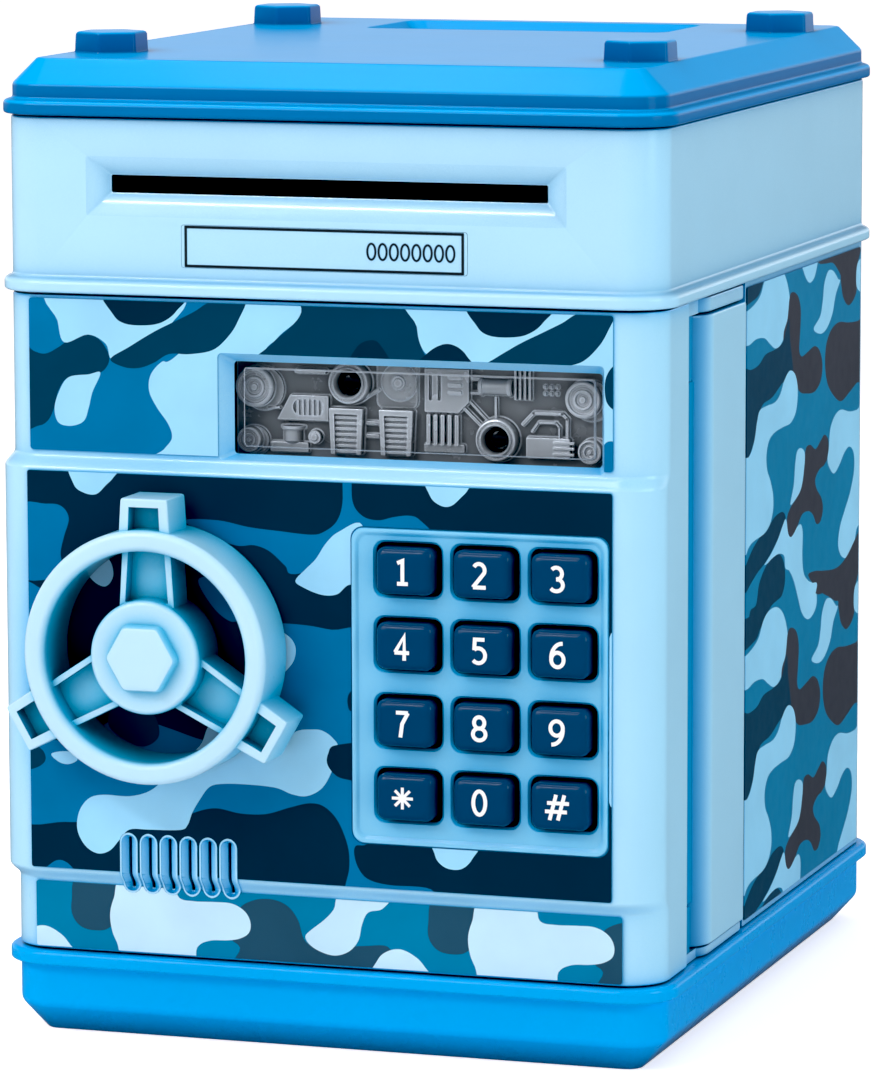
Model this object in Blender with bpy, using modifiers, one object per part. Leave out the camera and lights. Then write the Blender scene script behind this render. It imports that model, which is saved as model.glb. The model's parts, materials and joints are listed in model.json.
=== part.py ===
"""Toy safe coin bank: a small plastic safe with a hinged door, a handwheel latch, a keypad,
a motor-fed note slot in its head, a coin slot in its lid and a battery box in its base.

Lengths are written in millimetres and turned into metres by MM.
The origin is the centre of the base's underside; +Z is up and the door faces -Y."""

import math

import bmesh
import bpy
from mathutils import Matrix, Vector

MM = 0.001

# Driving dimensions
WIDTH = 127.1
DEPTH = 153.7
CORNER = 8.0
WALL = 2.5
GAP = 0.3
SIDE = WIDTH / 2
FRONT = -DEPTH / 2
BACK = DEPTH / 2

BASE_CHAMFER = 5.0
BASE_CHAMFER_TOP = 5.5
BASE_RIM_LOW = 13.5
BASE_TOP = 16.2
BASE_RIM = 1.9
BODY_LOW = BASE_TOP + GAP
BODY_TOP = 139.8
HEAD_LOW = 140.2
RIDGE_TOP = 142.7
RIDGE = 1.6
HEAD_TOP = 172.6
LID_LOW = 172.9
FLANGE = 1.44
FLANGE_TOP = 175.3
SKIRT_TOP = 178.4
LID_TOP = 183.1
LID_BEVEL = 5.0
STUD_X = 51.8
STUD_Y = 49.0
STUD_RADIUS = 7.2
STUD_TOP = 186.9

DOOR_BACK = -57.5
RAISE = 1.8
RAISE_LEFT = 1.3
RAISED_FRONT = FRONT - RAISE
RAISED_LOW = 30.4
RAISED_HIGH = 109.2
SKIN = 2.2
HINGE_X = 57.5
HINGE_Y = -31.5
COLUMN_LOW = 18.6
COLUMN_HIGH = 136.7
KNUCKLE_LOW = 18.3
KNUCKLE_HIGH = 137.0

WHEEL_X = -30.0
WHEEL_Z = 75.0
WHEEL_FRONT = -92.0
WHEEL_BACK = -79.4
RING_OUTER = 23.4
RING_INNER = 19.5

KEY_COLUMNS = (16.8, 31.55, 46.3)
KEY_ROWS = (91.75, 77.9, 63.7, 50.0)
KEY_NAMES = (("1", "2", "3"), ("4", "5", "6"), ("7", "8", "9"), ("star", "0", "hash"))
KEY_SIZE = (10.8, 8.6)
KEY_HOLE = (12.9, 9.8)
KEYPAD = (5.9, 54.8, 40.75, 99.2)
WINDOW = (-18.1, 52.4, 111.2, 128.3)

SLOT_HALF = 42.0
SLOT_Z = (158.8, 162.0)
FEED_Y = -61.0
DRIVE_Z = 165.3
IDLER_Z = 154.6
DRIVE_RADIUS = 5.35
IDLER_RADIUS = 4.95
GEAR_MODULE = 0.6
DRIVE_TEETH = 18
MOTOR_TEETH = 10
MOTOR_Y = FEED_Y + GEAR_MODULE * (DRIVE_TEETH + MOTOR_TEETH) / 2

BATTERY_Y = 28.0
CELL_RADIUS = 7.1
CELL_PITCH = 14.6
CELL_Z = 9.7

TURN = {"X": (math.pi / 2, 0, math.pi / 2), "Y": (math.pi / 2, 0, 0), "Z": (0, 0, 0)}


# ---------------------------------------------------------------- building tools

def clear_scene():
    for obj in list(bpy.data.objects):
        bpy.data.objects.remove(obj, do_unlink=True)


def new_collection(name):
    collection = bpy.data.collections.new(name)
    bpy.context.scene.collection.children.link(collection)
    return collection


def material(name, colour, roughness, metallic=0.0, alpha=1.0):
    made = bpy.data.materials.new(name)
    made.use_nodes = True
    shader = made.node_tree.nodes["Principled BSDF"]
    shader.inputs["Base Color"].default_value = (*colour, 1.0)
    shader.inputs["Roughness"].default_value = roughness
    shader.inputs["Metallic"].default_value = metallic
    shader.inputs["Alpha"].default_value = alpha
    made.diffuse_color = (*colour, alpha)
    return made


def add_object(name, mesh, centre, rotation=(0, 0, 0), tool=False):
    obj = bpy.data.objects.new(name, mesh)
    obj.location = Vector(centre) * MM
    obj.rotation_euler = rotation
    (TOOLS if tool else PARTS).objects.link(obj)
    if tool:
        obj.hide_render = True
        obj.display_type = "WIRE"
    return obj


def mesh_from(bm, name):
    bmesh.ops.recalc_face_normals(bm, faces=bm.faces)
    mesh = bpy.data.meshes.new(name)
    bm.to_mesh(mesh)
    bm.free()
    return mesh


def box(name, low, high, tool=False):
    """A box between two corners, with its origin at its centre."""
    size = [(b - a) * MM for a, b in zip(low, high)]
    bm = bmesh.new()
    bmesh.ops.create_cube(bm, size=1.0)
    bmesh.ops.scale(bm, vec=size, verts=bm.verts)
    centre = [(a + b) / 2 for a, b in zip(low, high)]
    return add_object(name, mesh_from(bm, name), centre, tool=tool)


def rod(name, start, axis, length, radius, segments=24, tool=False, tip=None):
    """A cylinder, or a cone with a tip radius, from its start point along X, Y or Z."""
    bm = bmesh.new()
    bmesh.ops.create_cone(bm, cap_ends=True, segments=segments, radius1=radius * MM,
                          radius2=(radius if tip is None else tip) * MM, depth=length * MM)
    bmesh.ops.translate(bm, vec=(0, 0, length / 2 * MM), verts=bm.verts)
    turn = Vector((0, 0, 1)).rotation_difference(Vector(axis)).to_matrix()
    bmesh.ops.rotate(bm, cent=(0, 0, 0), matrix=turn, verts=bm.verts)
    mesh = mesh_from(bm, name)
    mesh.shade_smooth()
    mesh.set_sharp_from_angle(angle=math.radians(35))
    return add_object(name, mesh, start, tool=tool)


def rounded(u0, u1, v0, v1, radius, steps=4):
    """The outline of a rectangle with rounded corners, counter-clockwise."""
    points = []
    corners = ((u1, v0, -90), (u1, v1, 0), (u0, v1, 90), (u0, v0, 180))
    for u, v, first in corners:
        cu = u - radius if u == u1 else u + radius
        cv = v - radius if v == v1 else v + radius
        for step in range(steps + 1):
            angle = math.radians(first + 90 * step / steps)
            points.append((cu + radius * math.cos(angle), cv + radius * math.sin(angle)))
    return points


def inset_plan(inset):
    """The safe's plan outline, moved in by an inset, or out by a negative one."""
    return rounded(-SIDE + inset, SIDE - inset, FRONT + inset, BACK - inset,
                   max(CORNER - inset, 1.5), steps=5)


def prism(name, outlines, axis, low, high, tool=False):
    """Flat outlines, the first outer and the rest holes, drawn out along an axis."""
    curve = bpy.data.curves.new(name, "CURVE")
    curve.dimensions = "2D"
    curve.fill_mode = "BOTH"
    curve.extrude = (high - low) / 2 * MM
    for outline in outlines:
        spline = curve.splines.new("POLY")
        spline.points.add(len(outline) - 1)
        spline.use_cyclic_u = True
        for point, (u, v) in zip(spline.points, outline):
            point.co = (u * MM, v * MM, 0, 1)
    guide = bpy.data.objects.new(name, curve)
    bpy.context.scene.collection.objects.link(guide)
    evaluated = guide.evaluated_get(bpy.context.evaluated_depsgraph_get())
    flat = bpy.data.meshes.new_from_object(evaluated)
    bpy.data.objects.remove(guide)
    bpy.data.curves.remove(curve)
    bm = bmesh.new()
    bm.from_mesh(flat)
    bpy.data.meshes.remove(flat)
    bmesh.ops.remove_doubles(bm, verts=bm.verts, dist=1e-6)
    bmesh.ops.dissolve_limit(bm, angle_limit=math.radians(0.5), verts=bm.verts, edges=bm.edges)
    middle = (low + high) / 2
    centre = {"X": (middle, 0, 0), "Y": (0, middle, 0), "Z": (0, 0, middle)}[axis]
    return add_object(name, mesh_from(bm, name), centre, TURN[axis], tool)


def stack(name, levels, tool=False, plan=inset_plan):
    """A solid whose plan outline steps or slopes from level to level: (height, inset)."""
    bm = bmesh.new()
    height, inset = levels[0]
    ring = [bm.verts.new((x * MM, y * MM, height * MM)) for x, y in plan(inset)]
    top = bm.faces.new(ring)
    for number, (height, inset) in enumerate(levels[1:]):
        made = bmesh.ops.extrude_face_region(bm, geom=[top])["geom"]
        if number:
            bmesh.ops.delete(bm, geom=[top], context="FACES_ONLY")
        top = next(item for item in made if isinstance(item, bmesh.types.BMFace))
        for loop, (x, y) in zip(top.loops, plan(inset)):
            loop.vert.co = (x * MM, y * MM, height * MM)
    return add_object(name, mesh_from(bm, name), (0, 0, 0), tool=tool)


def turned(name, profile, centre, axis, steps=32, tool=False):
    """A turned solid: a (radius, height) profile, top to bottom, about X, Y or Z."""
    bm = bmesh.new()
    line = [bm.verts.new((radius * MM, 0, height * MM)) for radius, height in profile]
    for first, second in zip(line, line[1:]):
        bm.edges.new((first, second))
    mesh = bpy.data.meshes.new(name)
    bm.to_mesh(mesh)
    bm.free()
    obj = add_object(name, mesh, centre, tool=tool)
    obj.rotation_euler = Vector((0, 0, 1)).rotation_difference(Vector(axis)).to_euler()
    screw = obj.modifiers.new("turn", "SCREW")
    screw.steps = screw.render_steps = steps
    screw.use_merge_vertices = True
    screw.merge_threshold = 0.00001
    screw.use_smooth_shade = True
    return obj


def combine(piece, tools, operation):
    for tool in tools:
        modifier = piece.modifiers.new(tool.name, "BOOLEAN")
        modifier.operation = operation
        modifier.object = tool
    return piece


def cut(piece, *tools):
    return combine(piece, tools, "DIFFERENCE")


def join(piece, *tools):
    return combine(piece, tools, "UNION")


def paint(paint_material, *pieces):
    for piece in pieces:
        piece.data.materials.clear()
        piece.data.materials.append(paint_material)


def pivot(name, place, parent=None):
    """An empty on a joint's axis; what hangs on it keeps its own place."""
    empty = bpy.data.objects.new(name, None)
    empty.empty_display_size = 0.01
    empty.location = Vector(place) * MM
    PARTS.objects.link(empty)
    if parent:
        hang(parent, empty)
    return empty


def hang(parent, *pieces):
    for piece in pieces:
        piece.parent = parent
        piece.matrix_parent_inverse = Matrix.Translation(-parent.location)


# ---------------------------------------------------------------- base and batteries

def make_base():
    base = stack("base_tray", [(0, BASE_CHAMFER), (BASE_CHAMFER_TOP, 0), (BASE_RIM_LOW, 0),
                               (BASE_RIM_LOW, -BASE_RIM), (BASE_TOP, -BASE_RIM)])
    island = (-30.0, 30.0, BATTERY_Y - 26.0, BATTERY_Y + 26.0)
    hollow = prism("base_hollow", [inset_plan(7.2), rounded(*island, 1.5, steps=1)[::-1]],
                   "Z", 2.6, BASE_TOP + 2, tool=True)
    roof = box("battery_box_roof", (island[0], island[2], 14.0), (island[1], island[3], 18.8),
               tool=True)
    bay = box("battery_bay", (-27.6, BATTERY_Y - 22.4, -1), (27.6, BATTERY_Y + 22.4, 17.1),
              tool=True)
    recess = box("battery_cover_recess", (-29.0, BATTERY_Y - 24.4, -2),
                 (29.0, BATTERY_Y + 24.4, 1.9), tool=True)
    cut(base, hollow)
    join(base, roof)
    cut(base, bay, recess)
    paint(BLUE, base)


def make_batteries():
    cover = prism("battery_cover", [rounded(-28.7, 28.7, BATTERY_Y - 24.1, BATTERY_Y + 24.1, 1)],
                  "Z", 0.25, 1.75)
    cut(cover, rod("cover_screw_hole", (0, BATTERY_Y + 18.0, -1), (0, 0, 1), 4, 1.7, tool=True))
    screw = turned("battery_cover_screw", [(0, 2.3), (1.3, 2.3), (1.4, 0.5), (0, 0.5)],
                   (0, BATTERY_Y + 18.0, 0), (0, 0, 1), steps=16)
    cut(screw, box("cover_screw_slot", (-0.9, BATTERY_Y + 17.8, 0), (0.9, BATTERY_Y + 18.2, 0.9),
                   tool=True))
    paint(BLUE, cover)
    paint(STEEL, screw)
    for index in range(3):
        side = 1 if index % 2 else -1
        y = BATTERY_Y + (index - 1) * CELL_PITCH
        cell = rod(f"cell_{index + 1}", (-24.6 * side, y, CELL_Z), (side, 0, 0), 48.0,
                   CELL_RADIUS, segments=20)
        button = rod(f"cell_button_{index + 1}", (23.0 * side, y, CELL_Z), (side, 0, 0), 1.8, 2.6,
                     segments=12, tool=True)
        join(cell, button)
        paint(CELL, cell)
    for side, name in ((-1, "battery_contact_left"), (1, "battery_contact_right")):
        low, high = sorted((26.4 * side, 27.0 * side))
        contact = box(name, (low, BATTERY_Y - 21.5, 4.5), (high, BATTERY_Y + 21.5, 14.5))
        paint(STEEL, contact)


def make_body():
    right_end = -19.0
    outer = [point for point in inset_plan(0) if point[1] > 0]
    inner = [point for point in inset_plan(WALL) if point[1] > 0]
    outline = [(SIDE, right_end)] + outer + [(-SIDE, -57.2), (-SIDE + WALL, -57.2)]
    outline += inner[::-1] + [(SIDE - WALL, right_end)]
    body = prism("body_shell", [outline], "Z", BODY_LOW, BODY_TOP)
    jamb = box("latch_jamb", (-SIDE + 0.6, -57.2, BODY_LOW), (-55.5, -54.7, BODY_TOP), tool=True)
    tools = [jamb]
    for tag, low, high in (("lower", BODY_LOW, KNUCKLE_LOW), ("upper", KNUCKLE_HIGH, BODY_TOP)):
        tools.append(box(f"{tag}_hinge_plate", (48.0, -56.6, low), (SIDE - 1.9, -17.6, high),
                         tool=True))
        tools.append(prism(f"{tag}_knuckle", [column_outline(0.6)], "Z", low, high, tool=True))
    tools.append(box("lower_hinge_jamb", (55.0, -56.6, BODY_LOW), (SIDE - 2.0, -52.3, 27.0),
                     tool=True))
    tools.append(box("upper_hinge_jamb", (55.0, -56.6, 125.0), (SIDE - 2.0, -52.3, BODY_TOP),
                     tool=True))
    join(body, *tools)
    cut(body, rod("lower_pin_seat", (HINGE_X, HINGE_Y, 0), (0, 0, 1), 30, 1.6, 16, tool=True),
        rod("upper_pin_seat", (HINGE_X, HINGE_Y, 130), (0, 0, 1), 8.6, 1.6, 16, tool=True))
    paint(PALE, body)
    floor_plan = [(-60.6, -53.8), (41.0, -53.8), (41.0, -15.0), (60.6, -15.0), (60.6, 66.0),
                  (53.5, 73.4), (-53.5, 73.4), (-60.6, 66.0)]
    floor = prism("chamber_floor", [floor_plan], "Z", 19.1, 20.9)
    paint(PALE, floor)
    for side, name in ((-1, "side_sticker_left"), (1, "side_sticker_right")):
        low, high = sorted(((SIDE + 0.1) * side, (SIDE + 0.3) * side))
        label = prism(name, [rounded(-18.4, 68.0, 17.6, 138.8, 1.0, steps=1)], "X", low, high)
        paint(TEAL, label)


def make_hinge_pins():
    for name, low, high in (("hinge_pin_lower", 16.7, 27.0), ("hinge_pin_upper", 130.4, 138.4)):
        pin = rod(name, (HINGE_X, HINGE_Y, low), (0, 0, 1), high - low, 1.5, 16)
        paint(STEEL, pin)


# ---------------------------------------------------------------- head, lid and note feeder

def make_head():
    head = stack("head_housing", [(HEAD_LOW, -RIDGE), (RIDGE_TOP, -RIDGE), (RIDGE_TOP, 0),
                                  (HEAD_TOP, 0)])
    room = prism("head_room", [inset_plan(WALL)], "Z", 142.4, HEAD_TOP + 2, tool=True)
    drop = prism("note_drop", [rounded(-45, 45, -57, 55, 2, steps=1)], "Z", HEAD_LOW - 1, 143,
                 tool=True)
    slot = box("note_slot", (-SLOT_HALF, FRONT - 2, SLOT_Z[0]), (SLOT_HALF, -70, SLOT_Z[1]),
               tool=True)
    mouth = prism("slot_mouth", [rounded(-45.6, 45.6, 155.8, 164.6, 1, steps=1)], "Y",
                  FRONT - 2, FRONT + 0.8, tool=True)
    panel = prism("number_recess", [rounded(-28.0, 28.0, 145.0, 153.8, 1, steps=1)], "Y",
                  FRONT - 2, FRONT + 0.6, tool=True)
    cut(head, room, drop, slot, mouth, panel)
    label = prism("number_label", [rounded(-27.5, 27.5, 145.5, 153.3, 0.8, steps=1)], "Y",
                  FRONT + 0.25, FRONT + 0.5)
    paint(PALE, head)
    paint(WHITE, label)


def make_lid():
    lid = stack("lid", [(LID_LOW, -FLANGE), (FLANGE_TOP, -FLANGE), (FLANGE_TOP, 0.3),
                        (SKIRT_TOP, 0.3), (LID_TOP, LID_BEVEL)])
    room = stack("lid_room", [(LID_LOW - 1, 3.0), (177.6, 3.0), (180.6, 6.0)], tool=True)
    cut(lid, room)
    for index, (sx, sy) in enumerate(((-1, -1), (1, -1), (-1, 1), (1, 1))):
        stud = rod(f"stud_{index}", (sx * STUD_X, sy * STUD_Y, LID_TOP - 0.5), (0, 0, 1),
                   STUD_TOP - LID_TOP + 0.5, STUD_RADIUS, 6, tool=True, tip=STUD_RADIUS - 1.1)
        join(lid, stud)
    trough_bottom = prism("trough_bottom", [rounded(-33.0, 33.0, 33.0, 68.0, 3)], "Z", 177.4,
                          181.4, tool=True)
    join(lid, trough_bottom)
    trough = stack("coin_trough", [(180.3, 2.6), (184.0, -0.9)], tool=True, plan=trough_plan)
    coin_slot = box("coin_slot", (-20.0, 41.0, 170.0), (20.0, 44.2, 186.0), tool=True)
    cut(lid, trough, coin_slot)
    paint(BLUE, lid)
    for side, name in ((-1, "lid_screw_left"), (1, "lid_screw_right")):
        screw = turned(name, [(0, 179.0), (1.2, 179.0), (1.2, 174.6), (2.6, 174.6), (2.6, 173.2),
                              (0, 173.2)], (side * 54.0, 20.0, 0), (0, 0, 1), steps=16)
        cut(screw, box(name + "_slot", (side * 54.0 - 1.8, 19.7, 172), (side * 54.0 + 1.8, 20.3,
                                                                         173.8), tool=True))
        paint(STEEL, screw)
        boss = rod(name + "_boss", (side * 54.0, 20.0, 174.9), (0, 0, 1), 6.4, 3.4, 16, tool=True)
        bore = rod(name + "_bore", (side * 54.0, 20.0, 174), (0, 0, 1), 5.3, 1.35, 16, tool=True)
        join(lid, boss)
        cut(lid, bore)


def trough_plan(inset):
    return rounded(-31 + inset, 31 - inset, 37 + inset, 66 - inset, 3.5)


def gear_outline(teeth, module):
    """A spur gear's outline with straight-sided teeth."""
    pitch = module * teeth / 2
    points = []
    for tooth in range(teeth):
        middle = 2 * math.pi * tooth / teeth
        step = 2 * math.pi / teeth
        for radius, part in ((pitch - 1.1 * module, -0.32), (pitch + 0.85 * module, -0.13),
                             (pitch + 0.85 * module, 0.13), (pitch - 1.1 * module, 0.32)):
            angle = middle + part * step
            points.append((radius * math.cos(angle), radius * math.sin(angle)))
    return points


def make_gear(name, teeth, centre, width, bore, phase):
    outline = gear_outline(teeth, GEAR_MODULE)
    turn = Matrix.Rotation(phase, 2)
    outline = [tuple(turn @ Vector(point)) for point in outline]
    hole = [(bore * math.cos(a), bore * math.sin(a))
            for a in (-2 * math.pi * step / 16 for step in range(16))]
    gear = prism(name, [outline, hole], "X", -width / 2, width / 2)
    gear.location = Vector(centre) * MM
    return gear


def make_feeder():
    frame = prism("feeder_frame", [rounded(-74.0, -46.0, 144.0, 170.8, 2)], "X", -51.0, -49.2)
    other = prism("feeder_side", [rounded(-74.0, -46.0, 144.0, 170.8, 2)], "X", 49.2, 51.0,
                  tool=True)
    guide = box("note_guide", (-50.0, -73.9, 156.8), (50.0, -67.0, 158.2), tool=True)
    tie = box("rear_tie", (-50.0, -48.5, 144.5), (50.0, -46.5, 152.0), tool=True)
    join(frame, other, guide, tie)
    cut(frame, rod("drive_bearing", (-60, FEED_Y, DRIVE_Z), (1, 0, 0), 120, 1.6, 20, tool=True),
        rod("idler_bearing", (-60, FEED_Y, IDLER_Z), (1, 0, 0), 120, 1.6, 20, tool=True),
        rod("motor_opening", (-60, MOTOR_Y, DRIVE_Z), (1, 0, 0), 12, 2.2, 20, tool=True))
    paint(GREY, frame)

    drive_pivot = pivot("drive_axis", (0, FEED_Y, DRIVE_Z))
    shaft = rod("drive_shaft", (-56.2, FEED_Y, DRIVE_Z), (1, 0, 0), 109.5, 1.5, 20)
    roller = turned("drive_roller", [(1.52, 14), (DRIVE_RADIUS - 0.6, 14), (DRIVE_RADIUS, 13.4),
                                     (DRIVE_RADIUS, -13.4), (DRIVE_RADIUS - 0.6, -14),
                                     (1.52, -14), (1.52, 14)],
                    (0, FEED_Y, DRIVE_Z), (1, 0, 0), steps=24)
    gear = make_gear("drive_gear", DRIVE_TEETH, (-54.2, FEED_Y, DRIVE_Z), 2.6, 1.52, 0.0)
    idler_profile = [(0, 52.5), (1.5, 52.5), (1.5, 15)]
    idler_profile += [(IDLER_RADIUS - 0.5, 15), (IDLER_RADIUS, 14.5), (IDLER_RADIUS, -14.5),
                      (IDLER_RADIUS - 0.5, -15), (1.5, -15), (1.5, -52.5), (0, -52.5)]
    idler = turned("idler_roller", idler_profile, (0, FEED_Y, IDLER_Z), (1, 0, 0), steps=20)
    pinion = make_gear("motor_pinion", MOTOR_TEETH, (-54.2, MOTOR_Y, DRIVE_Z), 2.6, 0.8,
                       math.pi / MOTOR_TEETH)
    motor = prism("feed_motor", [rounded(MOTOR_Y - 6.0, MOTOR_Y + 6.0, DRIVE_Z - 5.0,
                                         DRIVE_Z + 5.0, 2.5)], "X", -48.9, -33.0)
    join(motor, rod("motor_shaft", (-55.6, MOTOR_Y, DRIVE_Z), (1, 0, 0), 8, 0.75, 16, tool=True))
    paint(STEEL, shaft, motor)
    paint(RUBBER, roller)
    paint(WHITE, gear, pinion, idler)
    hang(drive_pivot, shaft, roller, gear)
    board = box("sensor_board", (-34.0, -73.6, 165.6), (34.0, -72.0, 171.6))
    sensor = box("note_sensor", (-4.0, -72.2, 163.0), (4.0, -69.0, 168.0), tool=True)
    join(board, sensor)
    paint(BOARD, board)


# ---------------------------------------------------------------- door

def door_plan(left, right, front, back, radius):
    """The door's plan: rounded front corners and a straight back."""
    ring = [point for point in rounded(left, right, front, -front, radius, steps=5)
            if point[1] < 0]
    left_corner = [point for point in ring if point[0] < 0]
    right_corner = [point for point in ring if point[0] > 0]
    return [(right, back), (left, back)] + left_corner + right_corner


def column_outline(reach=1.2):
    """The hinge column's plan, with a fully rounded front edge; it reaches past the side."""
    low_x, high_x, low_y, high_y = 54.0, SIDE + reach, -51.4, -20.0
    points = [(low_x, low_y)]
    for cx, cy, radius, first in ((high_x - 7.0, low_y + 7.0, 7.0, -90),
                                  (high_x - 3.0, high_y - 3.0, 3.0, 0)):
        for step in range(7):
            angle = math.radians(first + 15 * step)
            points.append((cx + radius * math.cos(angle), cy + radius * math.sin(angle)))
    return points + [(low_x, high_y)]


def raised_plan(amount):
    """The plan of the door's raised middle, which stands out in front and on the left."""
    return door_plan(-SIDE - RAISE_LEFT * amount, SIDE - 0.02, FRONT - RAISE * amount,
                     DOOR_BACK - 0.02, CORNER)


def make_door_shell():
    outer = door_plan(-SIDE, SIDE, FRONT, DOOR_BACK, CORNER)
    inner = door_plan(-SIDE + SKIN, SIDE - SKIN, FRONT + SKIN, DOOR_BACK + 2, CORNER - SKIN)
    door = prism("door_shell", [outer], "Z", BODY_LOW, BODY_TOP)
    raised = stack("raised_middle", [(RAISED_LOW - 0.3, 0.01), (RAISED_LOW + 1.4, 1),
                                     (RAISED_HIGH - 1.7, 1), (RAISED_HIGH + 0.3, 0.01)],
                   tool=True, plan=raised_plan)
    hollow = prism("door_hollow", [inner], "Z", BODY_LOW + SKIN, BODY_TOP - SKIN, tool=True)
    column = prism("hinge_column", [column_outline()], "Z", COLUMN_LOW, COLUMN_HIGH, tool=True)
    neck = box("hinge_neck", (59.0, DOOR_BACK - 3, 27.4), (61.6, -49.0, 124.6), tool=True)
    join(door, raised)
    cut(door, hollow)
    join(door, column, neck)
    window = prism("window_opening", [rounded(*WINDOW, 1.5, steps=2)], "Y", FRONT - 3, -70,
                   tool=True)
    keypad = prism("keypad_opening", [rounded(6.9, 54.0, 41.8, 98.2, 1.2, steps=1)], "Y",
                   RAISED_FRONT - 1, -70, tool=True)
    wheel_hole = rod("wheel_hole", (WHEEL_X, RAISED_FRONT - 1, WHEEL_Z), (0, 1, 0), 10, 4.1, 24,
                     tool=True)
    cut(door, window, keypad, wheel_hole)
    for index in range(6):
        x = -38.25 + 3.94 * index
        groove = prism(f"vent_groove_{index}", [[(x - 1.58, RAISED_FRONT - 1),
                                                 (x + 1.58, RAISED_FRONT - 1),
                                                 (x + 1.58, RAISED_FRONT + 0.1),
                                                 (x + 0.3, RAISED_FRONT + 3.0),
                                                 (x + 0.3, -73), (x - 0.3, -73),
                                                 (x - 0.3, RAISED_FRONT + 3.0),
                                                 (x - 1.58, RAISED_FRONT + 0.1)]],
                       "Z", 28.5, 39.5, tool=True)
        cut(door, groove)
    for low, tag in ((COLUMN_LOW - 1, "lower"), (130.0, "upper")):
        cut(door, rod(f"{tag}_pin_hole", (HINGE_X, HINGE_Y, low), (0, 0, 1), 10.0, 1.6, 16,
                      tool=True))
    for index, (x, z) in enumerate(cover_screw_places()):
        boss = rod(f"cover_boss_{index}", (x, FRONT + 1, z), (0, 1, 0), 12.75, 3.0, 12, tool=True)
        bore = rod(f"cover_bore_{index}", (x, -67, z), (0, 1, 0), 8, 1.25, 12, tool=True)
        join(door, boss)
        cut(door, bore)
    paint(PALE, door)
    return door


def cover_screw_places():
    return ((-56.5, 26.0), (50.0, 26.0))


def make_door_back():
    cover = prism("door_back_cover", [rounded(-61.0, 61.0, 19.1, 137.2, 1.5, steps=1)], "Y",
                  -62.8, -61.0)
    hub = rod("cover_hub_hole", (WHEEL_X, -70, WHEEL_Z), (0, 1, 0), 12, 3.3, 20, tool=True)
    cut(cover, hub)
    pieces = [cover]
    paint(GREY, cover)
    for (x, z), tag in zip(cover_screw_places(), ("left", "right")):
        name = f"cover_screw_{tag}"
        screw = turned(name, [(0, 1.6), (2.4, 1.6), (2.4, 0.2), (1.1, 0.2), (1.1, -4.6),
                              (0, -4.6)], (x, -61.0, z), (0, 1, 0), steps=12)
        cut(cover, rod(f"{name}_hole", (x, -70, z), (0, 1, 0), 12, 1.35, 12, tool=True))
        cut(screw, box(f"{name}_slot", (x - 1.7, -59.9, z - 0.3), (x + 1.7, -59.0, z + 0.3),
                       tool=True))
        paint(STEEL, screw)
        pieces.append(screw)
    return pieces


def make_stickers():
    upper = prism("sticker_upper", [rounded(-57.7, 55.0, 110.9, 139.1, 1, steps=1)], "Y",
                  FRONT - 0.3, FRONT - 0.1)
    notch = prism("sticker_window", [rounded(-20.6, 53.2, 109.0, 130.0, 1, steps=1)], "Y",
                  FRONT - 2, FRONT + 1, tool=True)
    cut(upper, notch)
    middle = prism("sticker_middle", [rounded(-57.6, 55.5, 32.4, 107.2, 1, steps=1)], "Y",
                   RAISED_FRONT - 0.3, RAISED_FRONT - 0.1)
    keypad = prism("sticker_keypad", [rounded(5.5, 56.5, 40.3, 99.6, 1, steps=1)], "Y",
                   RAISED_FRONT - 2, RAISED_FRONT + 1, tool=True)
    vents = box("sticker_vents", (-40.4, RAISED_FRONT - 2, 30), (-16.4, RAISED_FRONT + 1, 40.2),
                tool=True)
    shaft = rod("sticker_shaft", (WHEEL_X, RAISED_FRONT - 2, WHEEL_Z), (0, 1, 0), 4, 5.5, 24,
                tool=True)
    cut(middle, keypad, vents, shaft)
    lower = prism("sticker_lower", [rounded(-57.6, 56.9, 17.0, 29.35, 1, steps=1)], "Y",
                  FRONT - 0.3, FRONT - 0.1)
    cut(lower, box("sticker_lower_vents", (-40.4, FRONT - 2, 27.9), (-16.4, FRONT + 2, 31),
                   tool=True))
    paint(TEAL, upper, middle, lower)
    return [upper, middle, lower]


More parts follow.
